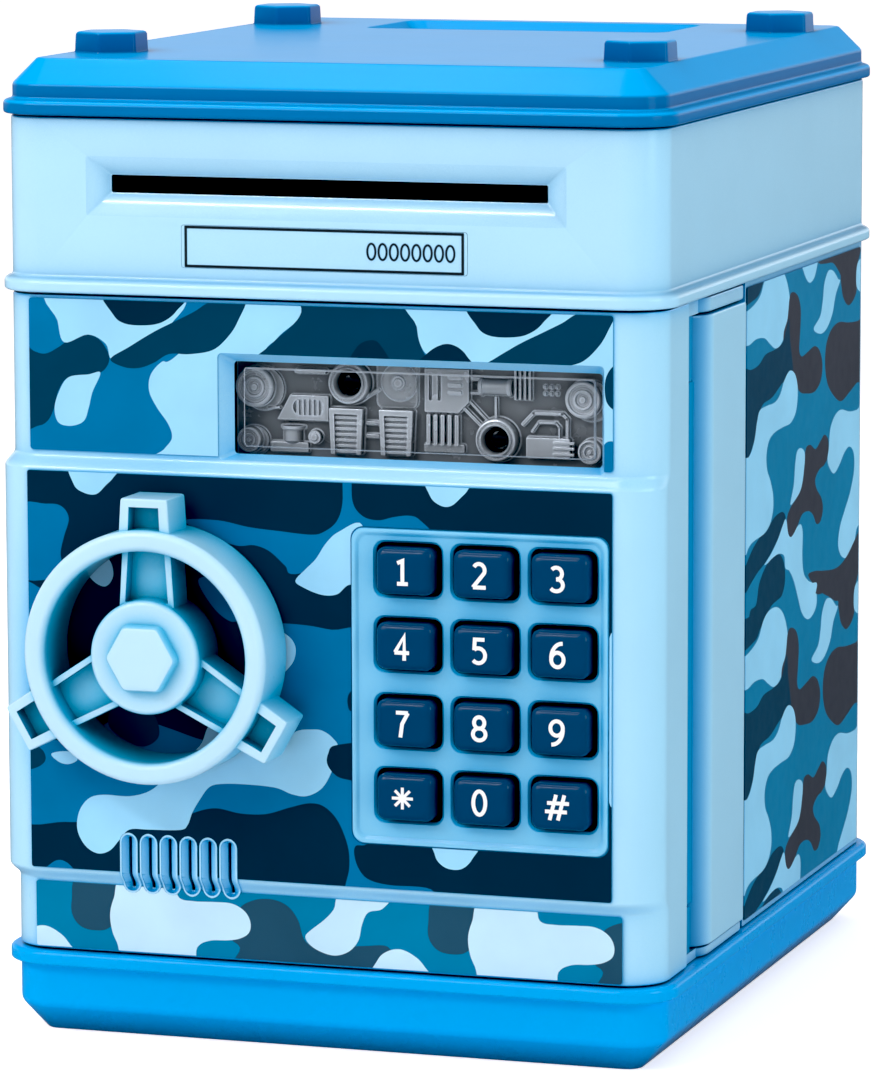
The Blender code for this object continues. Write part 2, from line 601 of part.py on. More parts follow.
def make_window():
    lens = prism("window_lens", [rounded(-20.0, 54.2, 109.6, 129.9, 1.5, steps=2)], "Y",
                 -74.3, -73.3)
    plate = box("window_relief", (-20.5, -70.0, 109.2), (54.6, -68.6, 130.3))
    front = -70.4
    tools = []
    bosses = ((-16.3, 123.0, 3.7), (-17.4, 113.2, 2.4), (47.0, 122.8, 3.4), (48.3, 113.3, 2.3),
              (11.4, 124.6, 3.4))
    for index, (x, z, radius) in enumerate(bosses):
        tools.append(rod(f"relief_boss_{index}", (x, -72.6, z), (0, 1, 0), 3, radius, 16,
                         tool=True))
    blocks = ((-9.8, 117.0, -2.2, 121.5, 1.2), (-8.8, 125.7, -2.6, 126.6, 1.5),
              (-11.7, 112.7, -7.0, 116.0, 2.0), (-2.0, 111.0, 4.7, 119.6, 1.9),
              (7.7, 111.1, 14.4, 119.6, 1.9), (16.4, 119.4, 25.0, 127.5, 1.3),
              (16.8, 113.5, 23.4, 118.9, 1.3), (26.8, 122.5, 33.2, 126.2, 2.0),
              (33.6, 122.3, 37.0, 127.7, 1.2), (35.9, 111.8, 44.3, 115.5, 1.5))
    for index, (x0, z0, x1, z1, height) in enumerate(blocks):
        tools.append(box(f"relief_block_{index}", (x0, front - height, z0), (x1, -69.5, z1),
                         tool=True))
    join(plate, *tools)
    lights = []
    for name, x, z, paint_with in (("led_red", 2.0, 124.3, RED), ("led_green", 30.4, 114.8,
                                                                 GREEN)):
        seat = rod(f"{name}_seat", (x, -71.6, z), (0, 1, 0), 6, 3.9, 20, tool=True)
        bore = rod(f"{name}_bore", (x, -75, z), (0, 1, 0), 10, 2.6, 20, tool=True)
        join(plate, seat)
        cut(plate, bore)
        light = turned(name, [(0, 2.4), (1.3, 2.1), (2.1, 1.3), (2.4, 0.2), (2.4, -4.2),
                              (0, -4.2)], (x, -70.8, z), (0, -1, 0), steps=16)
        paint(paint_with, light)
        lights.append(light)
    paint(GLASS, lens)
    paint(METAL, plate)
    return [lens, plate, *lights]


def make_keypad():
    x0, x1, z0, z1 = KEYPAD
    bezel = prism("keypad_bezel", [rounded(x0, x1, z0, z1, 2.2)], "Y", RAISED_FRONT - 0.7,
                  RAISED_FRONT - 0.1)
    plug = prism("keypad_plug", [rounded(7.2, 53.7, 42.1, 97.9, 1.0, steps=1)], "Y",
                 RAISED_FRONT - 0.4, -76.4, tool=True)
    tray = prism("keypad_tray", [rounded(x0 + 1.2, x1 - 1.2, z0 + 1.2, z1 - 1.2, 1.6)], "Y",
                 RAISED_FRONT - 2, RAISED_FRONT - 0.25, tool=True)
    join(bezel, plug)
    cut(bezel, tray)
    paint(PALE, bezel)
    keys = []
    for row, z in enumerate(KEY_ROWS):
        for column, x in enumerate(KEY_COLUMNS):
            tag = KEY_NAMES[row][column]
            hw, hh = KEY_HOLE[0] / 2, KEY_HOLE[1] / 2
            cut(bezel, box(f"key_hole_{tag}", (x - hw, -82, z - hh), (x + hw, -74, z + hh),
                           tool=True))
            keys.append(make_key(f"key_{tag}", x, z))
    membrane = prism("keypad_membrane", [rounded(8.0, 52.6, 38.0, 99.0, 1, steps=1)], "Y",
                     -72.5, -71.6)
    for row, z in enumerate(KEY_ROWS):
        for column, x in enumerate(KEY_COLUMNS):
            dome = rod(f"dome_{row}_{column}", (x, -71.9, z), (0, -1, 0), 1.3, 4.0, 10, tool=True,
                       tip=2.4)
            join(membrane, dome)
    board = prism("main_pcb", [rounded(6.6, 54.6, 34.0, 105.0, 1, steps=1)], "Y", -71.3, -69.7)
    chip = box("controller_chip", (22, -69.9, 60), (36, -68.2, 74), tool=True)
    join(board, chip)
    paint(RUBBER, membrane)
    paint(BOARD, board)
    return [bezel, membrane, board], keys


def make_key(name, x, z):
    width, height = KEY_SIZE
    cap = stack_key(name, x, z, width, height)
    flange = box(f"{name}_flange", (x - 7.1, -76.1, z - 5.8), (x + 7.1, -75.0, z + 5.8), tool=True)
    join(cap, flange)
    paint(NAVY, cap)
    return cap


def stack_key(name, x, z, width, height):
    """A key: a rounded block whose front edges slope in."""
    bm = bmesh.new()
    bmesh.ops.create_cube(bm, size=1.0)
    bmesh.ops.scale(bm, vec=(width * MM, 6.4 * MM, height * MM), verts=bm.verts)
    front = [vert for vert in bm.verts if vert.co.y < 0]
    edges = [edge for edge in bm.edges if all(vert in front for vert in edge.verts)]
    bmesh.ops.bevel(bm, geom=edges, offset=0.9 * MM, segments=2, profile=0.5, affect="EDGES")
    return add_object(name, mesh_from(bm, name), (x, -78.75, z))


def make_speaker():
    speaker = turned("speaker", [(0, 4.0), (5.0, 4.0), (12.4, 3.4), (13.4, 3.4), (13.4, 0.8),
                                 (8.0, -0.4), (8.0, -4.0), (0, -4.0)],
                     (-28.4, -69.0, 34.6), (0, -1, 0), steps=32)
    paint(BLACK, speaker)
    return speaker


# ---------------------------------------------------------------- handwheel and latch

def around(radius_points, angle):
    """Points given as (along, across) turned from pointing up to an angle about the wheel."""
    turned_points = []
    for across, along in radius_points:
        x = WHEEL_X + across * math.cos(angle) - along * math.sin(angle)
        z = WHEEL_Z + across * math.sin(angle) + along * math.cos(angle)
        turned_points.append((x, z))
    return turned_points


def make_handwheel():
    ring = [(RING_INNER + 0.7, -WHEEL_FRONT), (RING_OUTER - 1.2, -WHEEL_FRONT),
            (RING_OUTER, -WHEEL_FRONT - 1.2), (RING_OUTER, -WHEEL_BACK),
            (RING_INNER, -WHEEL_BACK), (RING_INNER, -WHEEL_FRONT - 0.7),
            (RING_INNER + 0.7, -WHEEL_FRONT)]
    wheel = turned("handwheel", ring, (WHEEL_X, 0, WHEEL_Z), (0, -1, 0), steps=48)
    hub = turned("wheel_hub", [(0, 91.4), (9.9, 91.4), (10.6, 90.7), (10.6, 81.0), (3.8, 81.0),
                               (3.8, 70.4), (0, 70.4)],
                 (WHEEL_X, 0, WHEEL_Z), (0, -1, 0), steps=32, tool=True)
    drive = box("drive_square", (WHEEL_X - 2.2, -71.5, WHEEL_Z - 2.2),
                (WHEEL_X + 2.2, -51.6, WHEEL_Z + 2.2), tool=True)
    nut = rod("hub_hexagon", (WHEEL_X, -91.0, WHEEL_Z), (0, -1, 0), 2.6, 6.9, 6, tool=True)
    tools = [hub, drive, nut]
    for index in range(3):
        angle = math.radians(120 * index)
        spoke = around([(-5.0, 8.0), (5.0, 8.0), (5.0, 20.6), (-5.0, 20.6)], angle)
        tools.append(prism(f"spoke_{index}", [spoke], "Y", -89.6, -83.2, tool=True))
        lug = around([(-4.7, 22.0), (4.7, 22.0), (4.4, 29.5), (-4.4, 29.5)], angle)
        tools.append(prism(f"lug_{index}", [lug], "Y", -90.6, -81.6, tool=True))
    join(wheel, *tools)
    cutters = []
    for index in range(3):
        angle = math.radians(120 * index)
        channel = around([(-3.6, 11.4), (3.6, 11.4), (3.6, 18.9), (-3.6, 18.9)], angle)
        cutters.append(prism(f"spoke_channel_{index}", [channel], "Y", -92.5, -86.4, tool=True))
        pocket = around([(-2.8, 24.6), (2.8, 24.6), (2.8, 31.0), (-2.8, 31.0)], angle)
        cutters.append(prism(f"lug_pocket_{index}", [pocket], "Y", -88.8, -83.4, tool=True))
    cut(wheel, *cutters)
    paint(PALE, wheel)
    return wheel


def square_hole(name, y0, y1):
    return box(name, (WHEEL_X - 2.3, y0, WHEEL_Z - 2.3), (WHEEL_X + 2.3, y1, WHEEL_Z + 2.3),
               tool=True)


def make_latch():
    cam = rod("latch_cam", (WHEEL_X, -69.6, WHEEL_Z), (0, 1, 0), 4.0, 9.0, 32)
    cut(cam, square_hole("cam_square", -71, -64))
    for tag, angle in (("open", 0.0), ("thrown", -math.pi / 2)):
        notch = around([(4.9, -1.9), (11.0, -1.9), (11.0, 1.9), (4.9, 1.9)], angle)
        cut(cam, prism(f"notch_{tag}", [notch], "Y", -71, -64, tool=True))
    tongue_outline = [(-5.0, -5.0), (5.0, -5.0), (5.0, 6.0), (3.6, 28.4), (2.4, 29.4),
                      (-2.4, 29.4), (-3.6, 28.4), (-5.0, 6.0)]
    tongue = prism("latch_tongue", [around(tongue_outline, 0.0)], "Y", -54.1, -52.1)
    sleeve = rod("tongue_sleeve", (WHEEL_X, -60.0, WHEEL_Z), (0, 1, 0), 6.4, 4.6, 20, tool=True)
    join(tongue, sleeve)
    cut(tongue, square_hole("tongue_square", -62, -50))
    screw = turned("latch_screw", [(0, 2.6), (3.6, 2.2), (4.2, 1.2), (4.2, 0.3), (0, 0.3)],
                   (WHEEL_X, -52.0 + 0.1, WHEEL_Z), (0, 1, 0), steps=20)
    cut(screw, box("latch_screw_slot", (WHEEL_X - 3.2, -50.4, WHEEL_Z - 0.4),
                   (WHEEL_X + 3.2, -49.0, WHEEL_Z + 0.4), tool=True))
    paint(GREY, cam)
    paint(STEEL, tongue, screw)
    return [cam, tongue, screw]


def make_solenoid():
    frame = box("solenoid", (-15.5, -73.5, 69.4), (3.5, -64.0, 80.6))
    bore = rod("solenoid_bore", (-17.0, -67.6, WHEEL_Z), (1, 0, 0), 19.0, 1.75, 16, tool=True)
    cut(frame, bore)
    plunger = rod("solenoid_plunger", (-20.6, -67.6, WHEEL_Z), (1, 0, 0), 17.0, 1.5, 16)
    paint(STEEL, frame, plunger)
    return frame, plunger


def make_door():
    hinge = pivot("door_hinge", (HINGE_X, HINGE_Y, BODY_LOW))
    fixed = [make_door_shell(), make_speaker(), *make_door_back(), *make_stickers(),
             *make_window()]
    keypad, keys = make_keypad()
    solenoid, plunger = make_solenoid()
    hang(hinge, *fixed, *keypad, *keys, solenoid, plunger)
    wheel_axis = pivot("wheel_axis", (WHEEL_X, RAISED_FRONT, WHEEL_Z), hinge)
    hang(wheel_axis, make_handwheel(), *make_latch())


clear_scene()
PARTS = new_collection("toy_safe_coin_bank")
TOOLS = new_collection("cutters")
PALE = material("pale_blue_plastic", (0.37, 0.70, 0.90), 0.32)
BLUE = material("blue_plastic", (0.0, 0.24, 0.64), 0.30)
NAVY = material("navy_plastic", (0.0, 0.07, 0.19), 0.35)
TEAL = material("printed_sticker", (0.02, 0.20, 0.34), 0.40)
WHITE = material("white_plastic", (0.85, 0.86, 0.86), 0.40)
GREY = material("grey_plastic", (0.35, 0.37, 0.40), 0.45)
BLACK = material("black_plastic", (0.02, 0.02, 0.02), 0.50)
METAL = material("metallised_plastic", (0.62, 0.64, 0.66), 0.30, metallic=0.8)
STEEL = material("steel", (0.60, 0.61, 0.63), 0.30, metallic=1.0)
RUBBER = material("rubber", (0.05, 0.05, 0.05), 0.80)
BOARD = material("circuit_board", (0.03, 0.20, 0.09), 0.50)
CELL = material("cell_jacket", (0.10, 0.10, 0.12), 0.35, metallic=0.4)
GLASS = material("clear_plastic", (0.90, 0.95, 0.97), 0.05, alpha=0.35)
RED = material("red_lens", (0.50, 0.02, 0.02), 0.15)
GREEN = material("green_lens", (0.02, 0.30, 0.08), 0.15)
make_base()
make_batteries()
make_body()
make_hinge_pins()
make_head()
make_lid()
make_feeder()
make_door()
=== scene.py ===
"""Looks of the toy safe coin bank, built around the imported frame.

Lengths in this script are millimetres in the frame's axes (+Z up, the door faces -Y) and
are turned into metres when a mesh is made. Places come from the frame's own boxes."""

import json
import math

import bmesh
import bpy
from mathutils import Matrix, Vector
from mathutils.geometry import delaunay_2d_cdt

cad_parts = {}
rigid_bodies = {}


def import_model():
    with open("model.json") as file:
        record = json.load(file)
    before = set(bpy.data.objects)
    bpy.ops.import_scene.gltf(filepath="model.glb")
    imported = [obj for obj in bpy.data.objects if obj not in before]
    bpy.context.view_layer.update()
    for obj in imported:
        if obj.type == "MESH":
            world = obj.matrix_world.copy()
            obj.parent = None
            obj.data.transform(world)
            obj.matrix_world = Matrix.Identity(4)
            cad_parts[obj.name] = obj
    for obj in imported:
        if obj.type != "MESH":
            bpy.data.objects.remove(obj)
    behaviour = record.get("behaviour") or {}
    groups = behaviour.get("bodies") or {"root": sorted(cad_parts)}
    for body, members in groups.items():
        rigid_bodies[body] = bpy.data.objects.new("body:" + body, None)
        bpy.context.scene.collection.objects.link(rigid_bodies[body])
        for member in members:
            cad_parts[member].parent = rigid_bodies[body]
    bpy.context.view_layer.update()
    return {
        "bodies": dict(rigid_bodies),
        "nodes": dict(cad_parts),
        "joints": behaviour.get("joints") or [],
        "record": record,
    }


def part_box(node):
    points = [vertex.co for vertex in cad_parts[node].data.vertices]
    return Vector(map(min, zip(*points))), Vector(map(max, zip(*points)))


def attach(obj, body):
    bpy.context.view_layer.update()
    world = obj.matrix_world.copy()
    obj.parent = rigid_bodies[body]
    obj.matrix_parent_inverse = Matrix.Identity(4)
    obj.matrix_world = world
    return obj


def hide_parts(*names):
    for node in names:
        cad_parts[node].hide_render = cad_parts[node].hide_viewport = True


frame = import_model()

MM = 0.001
SMOOTH_BELOW = 32


def mm_box(node):
    """A CAD node's lowest and highest corners in millimetres."""
    low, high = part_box(node)
    return low / MM, high / MM


BASE_HIGH = mm_box("base_tray")[1]
BODY_LOW, BODY_HIGH = mm_box("body_shell")
DOOR_LOW = mm_box("door_shell")[0]
HEAD_LOW, HEAD_HIGH = mm_box("head_housing")
LID_LOW, LID_HIGH = mm_box("lid")
WHEEL_LOW = mm_box("handwheel")[0]
CAM_LOW, CAM_HIGH = mm_box("latch_cam")
BEZEL_LOW, BEZEL_HIGH = mm_box("keypad_bezel")
LENS_LOW, LENS_HIGH = mm_box("window_lens")
RELIEF_LOW, RELIEF_HIGH = mm_box("window_relief")

SIDE = -BODY_LOW.x
BACK = BODY_HIGH.y
FRONT = -BACK
RAISED = DOOR_LOW.y
RAISE = FRONT - RAISED
RAISE_LEFT = -SIDE - DOOR_LOW.x
DOOR_BACK = FRONT + 19.35
RELIEF_GROUND = 1.4
CORNER = 8.0
WALL = 2.5
DOOR_SKIN = 2.2
RIM = BASE_HIGH.x - SIDE
RIM_TOP = BODY_LOW.z - 0.3
STEP_LOW = 30.9
STEP_HIGH = 108.8
STEP_RISE = 1.4
LID_TOP = LID_HIGH.z - 3.8
LID_UNDER = 180.6
STUD_X, STUD_Y = 51.8, 49.0
COLUMN_LOW, COLUMN_HIGH = 18.6, 136.7
PIN_BORE = 1.6
SLOT_HALF, SLOT_LOW, SLOT_HIGH = 42.0, 158.8, 162.0
KEYPAD_OPENING = (6.9, 54.0, 41.8, 98.2)
WINDOW_EDGE = (-20.5, 53.3, 110.25, 129.9)
WINDOW_OPENING = (-18.1, 52.3, 111.3, 128.3)
COVER_FRONT = (-16.6, 50.9, 112.5, 127.2)
VENT_LOW, VENT_HIGH, VENT_HALF, VENT_LIP = 28.5, 39.5, 1.45, 0.4
VENT_XS = [-38.25 + 3.94 * index for index in range(6)]
WHEEL_X = (CAM_LOW.x + CAM_HIGH.x) / 2
WHEEL_Z = (CAM_LOW.z + CAM_HIGH.z) / 2
KEY_NAMES = ("1", "2", "3", "4", "5", "6", "7", "8", "9", "star", "0", "hash")


# ---------------------------------------------------------------- mesh tools

def plan(left, right, low, high, radius, steps=8):
    """A rectangle with rounded corners, counter-clockwise, from its lower right corner."""
    points = []
    for u, v, first in ((right, low, -90), (right, high, 0), (left, high, 90), (left, low, 180)):
        cu = u - radius if u == right else u + radius
        cv = v - radius if v == high else v + radius
        for step in range(steps + 1):
            angle = math.radians(first + 90 * step / steps)
            points.append((cu + radius * math.cos(angle), cv + radius * math.sin(angle)))
    return points


def safe_plan(inset, steps=8):
    """The safe's plan, moved in by an inset or out by a negative one."""
    return plan(-SIDE + inset, SIDE - inset, FRONT + inset, BACK - inset,
                max(CORNER - inset, 1.0), steps)


def inset_plan(box, inset, radius, steps=8):
    """A rounded rectangle of a (left, right, low, high) box moved in on all sides."""
    left, right, low, high = box
    return plan(left + inset, right - inset, low + inset, high - inset, radius, steps)


def rounded_path(points, steps=4):
    """A path of (u, v, radius) corners, each turned into an arc of that radius."""
    path = []
    for index, (u, v, radius) in enumerate(points):
        here = Vector((u, v))
        if radius == 0 or index in (0, len(points) - 1):
            path.append(here)
            continue
        before = (Vector(points[index - 1][:2]) - here).normalized()
        after = (Vector(points[index + 1][:2]) - here).normalized()
        half = before.angle(after) / 2
        reach = radius / math.tan(half)
        centre = here + (before + after).normalized() * radius / math.sin(half)
        start, end = here + before * reach - centre, here + after * reach - centre
        turn = start.angle_signed(end)
        for step in range(steps + 1):
            path.append(centre + Matrix.Rotation(-turn * step / steps, 2) @ start)
    return path


def add_piece(name, bm, smooth=SMOOTH_BELOW):
    """A mesh object from millimetre geometry, shaded smooth below an angle in degrees."""
    bmesh.ops.recalc_face_normals(bm, faces=bm.faces)
    bmesh.ops.scale(bm, vec=(MM, MM, MM), verts=bm.verts)
    mesh = bpy.data.meshes.new(name)
    bm.to_mesh(mesh)
    bm.free()
    mesh.shade_smooth()
    mesh.set_sharp_from_angle(angle=math.radians(smooth))
    obj = bpy.data.objects.new(name, mesh)
    bpy.context.scene.collection.objects.link(obj)
    return obj


def loft(name, rings, closed=False, smooth=SMOOTH_BELOW):
    """A skin over rings of equally many points, capped at both ends or joined into a loop."""
    bm = bmesh.new()
    grid = [[bm.verts.new(point) for point in ring] for ring in rings]
    count = len(grid[0])
    pairs = list(zip(grid, grid[1:])) + ([(grid[-1], grid[0])] if closed else [])
    for lower, upper in pairs:
        for i in range(count):
            j = (i + 1) % count
            bm.faces.new((lower[i], lower[j], upper[j], upper[i]))
    if not closed:
        bm.faces.new(grid[0][::-1])
        bm.faces.new(grid[-1])
    return add_piece(name, bm, smooth)


def level_loft(name, path, outline, closed=False):
    """A loft up Z: each (inset, height) of the path is a ring of the outline's plan."""
    rings = [[(x, y, height) for x, y in outline(inset)] for inset, height in path]
    return loft(name, rings, closed)


def front_loft(name, levels, smooth=SMOOTH_BELOW):
    """A loft along Y: each (y, outline) level is a ring seen from the front."""
    return loft(name, [[(u, y, v) for u, v in outline] for y, outline in levels], smooth=smooth)


def to_place(u, v, w, axis):
    """A point of a flat drawing: u, v in its plane and w along its axis."""
    return {"X": (w, u, v), "Y": (u, w, v), "Z": (u, v, w)}[axis]


def triangulate(outlines):
    """Triangles inside any of the outlines, with the numbers of the outlines round each."""
    points, loops = [], []
    for outline in outlines:
        area = sum(a[0] * b[1] - b[0] * a[1] for a, b in zip(outline, outline[1:] + outline[:1]))
        loops.append(list(range(len(points), len(points) + len(outline))))
        points += [Vector(point) for point in (outline if area > 0 else outline[::-1])]
    verts, _, faces, _, _, origins = delaunay_2d_cdt(points, [], loops, 1, 1e-5, True)
    return verts, faces, [set(ids) for ids in origins]


def slab(name, outlines, axis, low, high, edge=0.0):
    """Outlines, the first outer and the rest holes, drawn out along an axis, edges rounded."""
    verts, faces, origins = triangulate(outlines)
    keep = [face for face, ids in zip(faces, origins) if ids == {0}]
    bm = bmesh.new()
    made = [bm.verts.new(to_place(u, v, low, axis)) for u, v in verts]
    for face in keep:
        bm.faces.new([made[i] for i in face])
    bmesh.ops.delete(bm, geom=[v for v in bm.verts if not v.link_faces], context="VERTS")
    bmesh.ops.dissolve_limit(bm, angle_limit=0.01, verts=bm.verts, edges=bm.edges)
    top = bmesh.ops.extrude_face_region(bm, geom=bm.faces[:])["geom"]
    move = Vector(to_place(0, 0, high - low, axis))
    bmesh.ops.translate(bm, vec=move, verts=[g for g in top if isinstance(g, bmesh.types.BMVert)])
    if edge:
        bmesh.ops.recalc_face_normals(bm, faces=bm.faces)
        rims = [e for e in bm.edges if len(e.link_faces) == 2 and e.calc_face_angle(0) > 0.6]
        bmesh.ops.bevel(bm, geom=rims, offset=edge, segments=2, profile=0.5, affect="EDGES",
                        clamp_overlap=True)
    return add_piece(name, bm)


def lathe(name, profile, centre, axis, steps=64):
    """A (radius, height) profile turned about an axis; it closes on the axis or on itself."""
    direction = Vector(axis)
    side = direction.orthogonal().normalized()
    other = direction.cross(side)
    centre = Vector(centre)
    bm = bmesh.new()
    rings = []
    for radius, height in profile:
        base = centre + direction * height
        if radius < 1e-6:
            rings.append([bm.verts.new(base)])
            continue
        rings.append([bm.verts.new(base + (side * math.cos(a) + other * math.sin(a)) * radius)
                      for a in (2 * math.pi * k / steps for k in range(steps))])
    loops = list(zip(rings, rings[1:]))
    if len(rings[0]) > 1:
        loops.append((rings[-1], rings[0]))
    for first, second in loops:
        for i in range(steps):
            j = (i + 1) % steps
            corners = [first[i % len(first)], first[j % len(first)],
                       second[j % len(second)], second[i % len(second)]]
            face = list(dict.fromkeys(corners))
            if len(face) > 2:
                bm.faces.new(face)
    return add_piece(name, bm)


def rod(name, x, y, low, high, radius, steps=24):
    """An upright round bar."""
    return lathe(name, [(0, low), (radius, low), (radius, high), (0, high)], (x, y, 0),
                 (0, 0, 1), steps)


def bake_modifiers(piece):
    """Turns a piece's modifiers into its mesh."""
    graph = bpy.context.evaluated_depsgraph_get()
    mesh = bpy.data.meshes.new_from_object(piece.evaluated_get(graph), depsgraph=graph)
    piece.modifiers.clear()
    piece.data = mesh
    return piece


def combine(piece, tools, operation):
    """Joins or cuts a piece with tools, which are used up."""
    for tool in tools:
        modifier = piece.modifiers.new("shape", "BOOLEAN")
        modifier.operation = operation
        modifier.solver = "EXACT"
        modifier.object = tool
        bake_modifiers(piece)
        bpy.data.objects.remove(tool)
    piece.data.shade_smooth()
    piece.data.set_sharp_from_angle(angle=math.radians(SMOOTH_BELOW))
    return piece


def cut(piece, *tools):
    """Takes the tools' shapes out of a piece."""
    return combine(piece, tools, "DIFFERENCE")


def join(piece, *tools):
    """Adds the tools' shapes to a piece."""
    return combine(piece, tools, "UNION")


def gather(piece, parts):
    """Adds parts that stand on a piece to its mesh; each stays a closed shell."""
    bm = bmesh.new()
    for source in [piece] + list(parts):
        bm.from_mesh(source.data)
    bm.to_mesh(piece.data)
    bm.free()
    for part in parts:
        bpy.data.objects.remove(part)
    return piece


def soften(piece, width, segments=2, angle=35):
    """Rounded edges with face-weighted normals."""
    bevel = piece.modifiers.new("rounded_edges", "BEVEL")
    bevel.width = width * MM
    bevel.segments = segments
    bevel.limit_method = "ANGLE"
    bevel.angle_limit = math.radians(angle)
    bevel.miter_outer = "MITER_ARC"
    return even_shading(piece)


def even_shading(piece):
    """Face-weighted normals that keep sharp edges."""
    piece.modifiers.new("even_shading", "WEIGHTED_NORMAL").keep_sharp = True
    return piece


def node_middle(node):
    """The middle of a CAD node's box."""
    low, high = mm_box(node)
    return (low + high) / 2


def finish(piece, paint, body, slot, *nodes):
    """Gives a piece its material and its body and hides the CAD nodes it stands for; the slot is not
    used.
    """
    piece.data.materials.clear()
    piece.data.materials.append(paint)
    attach(piece, body)
    if nodes:
        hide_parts(*nodes)
    return piece


# ---------------------------------------------------------------- materials

class Graph:
    """A node tree with short ways to add nodes, feed them and link them."""

    def __init__(self, tree):
        self.tree = tree
        self.place = self.add("TexCoord")

    def add(self, kind, inputs=None, **settings):
        """A node with its settings; each input takes a value or another node's socket."""
        node = self.tree.nodes.new("ShaderNode" + kind)
        for key, value in settings.items():
            setattr(node, key, value)
        for key, value in (inputs or {}).items():
            self.feed(node, key, value)
        return node

    def feed(self, node, key, value):
        """Puts a value, a colour or another node's socket into an input."""
        socket = node.inputs[key]
        if isinstance(value, bpy.types.NodeSocket):
            self.tree.links.new(value, socket)
        elif socket.type == "RGBA":
            socket.default_value = (*value, 1)
        else:
            socket.default_value = value

    def noise(self, scale, detail=2.0, stretch=None):
        """A soft cloudy pattern from 0 to 1, which may be stretched along the axes."""
        place = self.place.outputs["Object"]
        if stretch:
            place = self.add("Mapping", {"Vector": place, "Scale": stretch}).outputs["Vector"]
        return self.add("TexNoise", {"Vector": place, "Scale": scale,
                                     "Detail": detail}).outputs["Fac"]

    def between(self, value, low, high):
        """0 at one value and 1 at another, even in between."""
        return self.add("MapRange", {"Value": value, "From Min": low,
                                     "From Max": high}).outputs["Result"]

    def spread(self, value, low, high):
        """Maps a 0 to 1 value onto a range."""
        return self.add("MapRange", {"Value": value, "To Min": low,
                                     "To Max": high}).outputs["Result"]

    def times(self, first, second):
        """The product of two values."""
        return self.add("Math", {0: first, 1: second}, operation="MULTIPLY").outputs["Value"]

    def mix(self, factor, first, second):
        """The first colour where the factor is 0 and the second where it is 1."""
        return self.add("Mix", {"Factor": factor, 6: first, 7: second},
                        data_type="RGBA").outputs[2]

    def part(self, vector, axis):
        """One axis of a vector."""
        return self.add("SeparateXYZ", {"Vector": vector}).outputs[axis]

    def openness(self, reach):
        """1 where a surface is open and 0 deep in hollows as wide as the reach."""
        return self.add("AmbientOcclusion", {"Distance": reach * MM}, samples=6).outputs["AO"]

    def bump(self, shader, height, strength, distance):
        """Lets a pattern's height disturb a shader's normal."""
        self.feed(shader, "Normal", self.add("Bump", {
            "Strength": strength, "Distance": distance, "Height": height}).outputs["Normal"])


def new_material(name):
    """A node material with its graph and its main shader."""
    made = bpy.data.materials.new(name)
    made.use_nodes = True
    return made, Graph(made.node_tree), made.node_tree.nodes["Principled BSDF"]


def shade_of(colour, share):
    """A lighter or darker shade of a colour."""
    return tuple(min(1.0, c * share) for c in colour)


def plastic(name, colour, deep, rough=0.3, coat=0.3, grain=900.0, texture=0.12, crease=18.0,
            start=0.5, shine=0.2, glow=0.0, walls=None, fronts=None, vary=0.05):
    """Moulded plastic: slightly mottled, with a fine skin. Painted shade deepens its colour in
    hollows and turns pits nearly black.

    The glow is painted light: an emission standing for light that wanders through thin walls
    into the hollows. Upright walls, or faces turned to the front, may get painted shade in a
    deeper colour."""
    made, graph, shader = new_material(name)
    openness = graph.openness(crease)
    base = graph.mix(graph.noise(45.0), shade_of(colour, 0.96), shade_of(colour, 1.04))
    # Painted shade: upright walls and faces turned to the front take a deeper colour.
    for axis, tint, full, none in (("Z", walls, 0.15, 0.6), ("Y", fronts, -0.8, -0.05)):
        if tint:
            facing = graph.part(graph.add("NewGeometry").outputs["Normal"], axis)
            base = graph.mix(graph.between(facing, full, none), tint, base)
    # Painted shade: hollows take the deeper colour and pits go nearly black.
    shaded = graph.mix(graph.between(openness, start, 1.0), deep, base)
    pit_shade = graph.between(openness, 0.05, 0.35)
    graph.feed(shader, "Base Color", graph.mix(pit_shade, shade_of(deep, 0.12), shaded))
    # Painted light: a glow of the deeper colour in half open hollows, though nothing here is a lamp.
    if glow:
        graph.feed(shader, "Emission Color", deep)
        graph.feed(shader, "Emission Strength", half_open(graph, openness, glow))
    graph.feed(shader, "Roughness",
               graph.spread(graph.noise(160.0, 4.0), rough - vary, rough + vary))
    graph.feed(shader, "Coat Weight", coat)
    graph.feed(shader, "Coat Roughness", 0.1)
    graph.feed(shader, "Specular IOR Level", shine)
    graph.bump(shader, graph.noise(grain, 3.0), texture, 0.00003)
    return made


def half_open(graph, openness, strength):
    """The painted glow's strength: greatest in half open hollows and none on faces and in pits."""
    fall = graph.between(openness, 1.0, 0.6)
    return graph.times(graph.between(openness, 0.25, 0.6), graph.spread(fall, 0.0, strength))


def film(name, colour, rough=0.32):
    """Printed film: an even ink with faint banding under a thin glossy skin."""
    made, graph, shader = new_material(name)
    graph.feed(shader, "Base Color", graph.mix(graph.noise(70.0, 3.0), shade_of(colour, 0.86),
                                               shade_of(colour, 1.12)))
    graph.feed(shader, "Roughness", graph.spread(graph.noise(300.0), rough - 0.06, rough + 0.06))
    graph.feed(shader, "Specular IOR Level", 0.12)
    graph.feed(shader, "Coat Weight", 0.08)
    graph.feed(shader, "Coat Roughness", 0.15)
    graph.bump(shader, graph.noise(1400.0), 0.08, 0.00003)
    return made


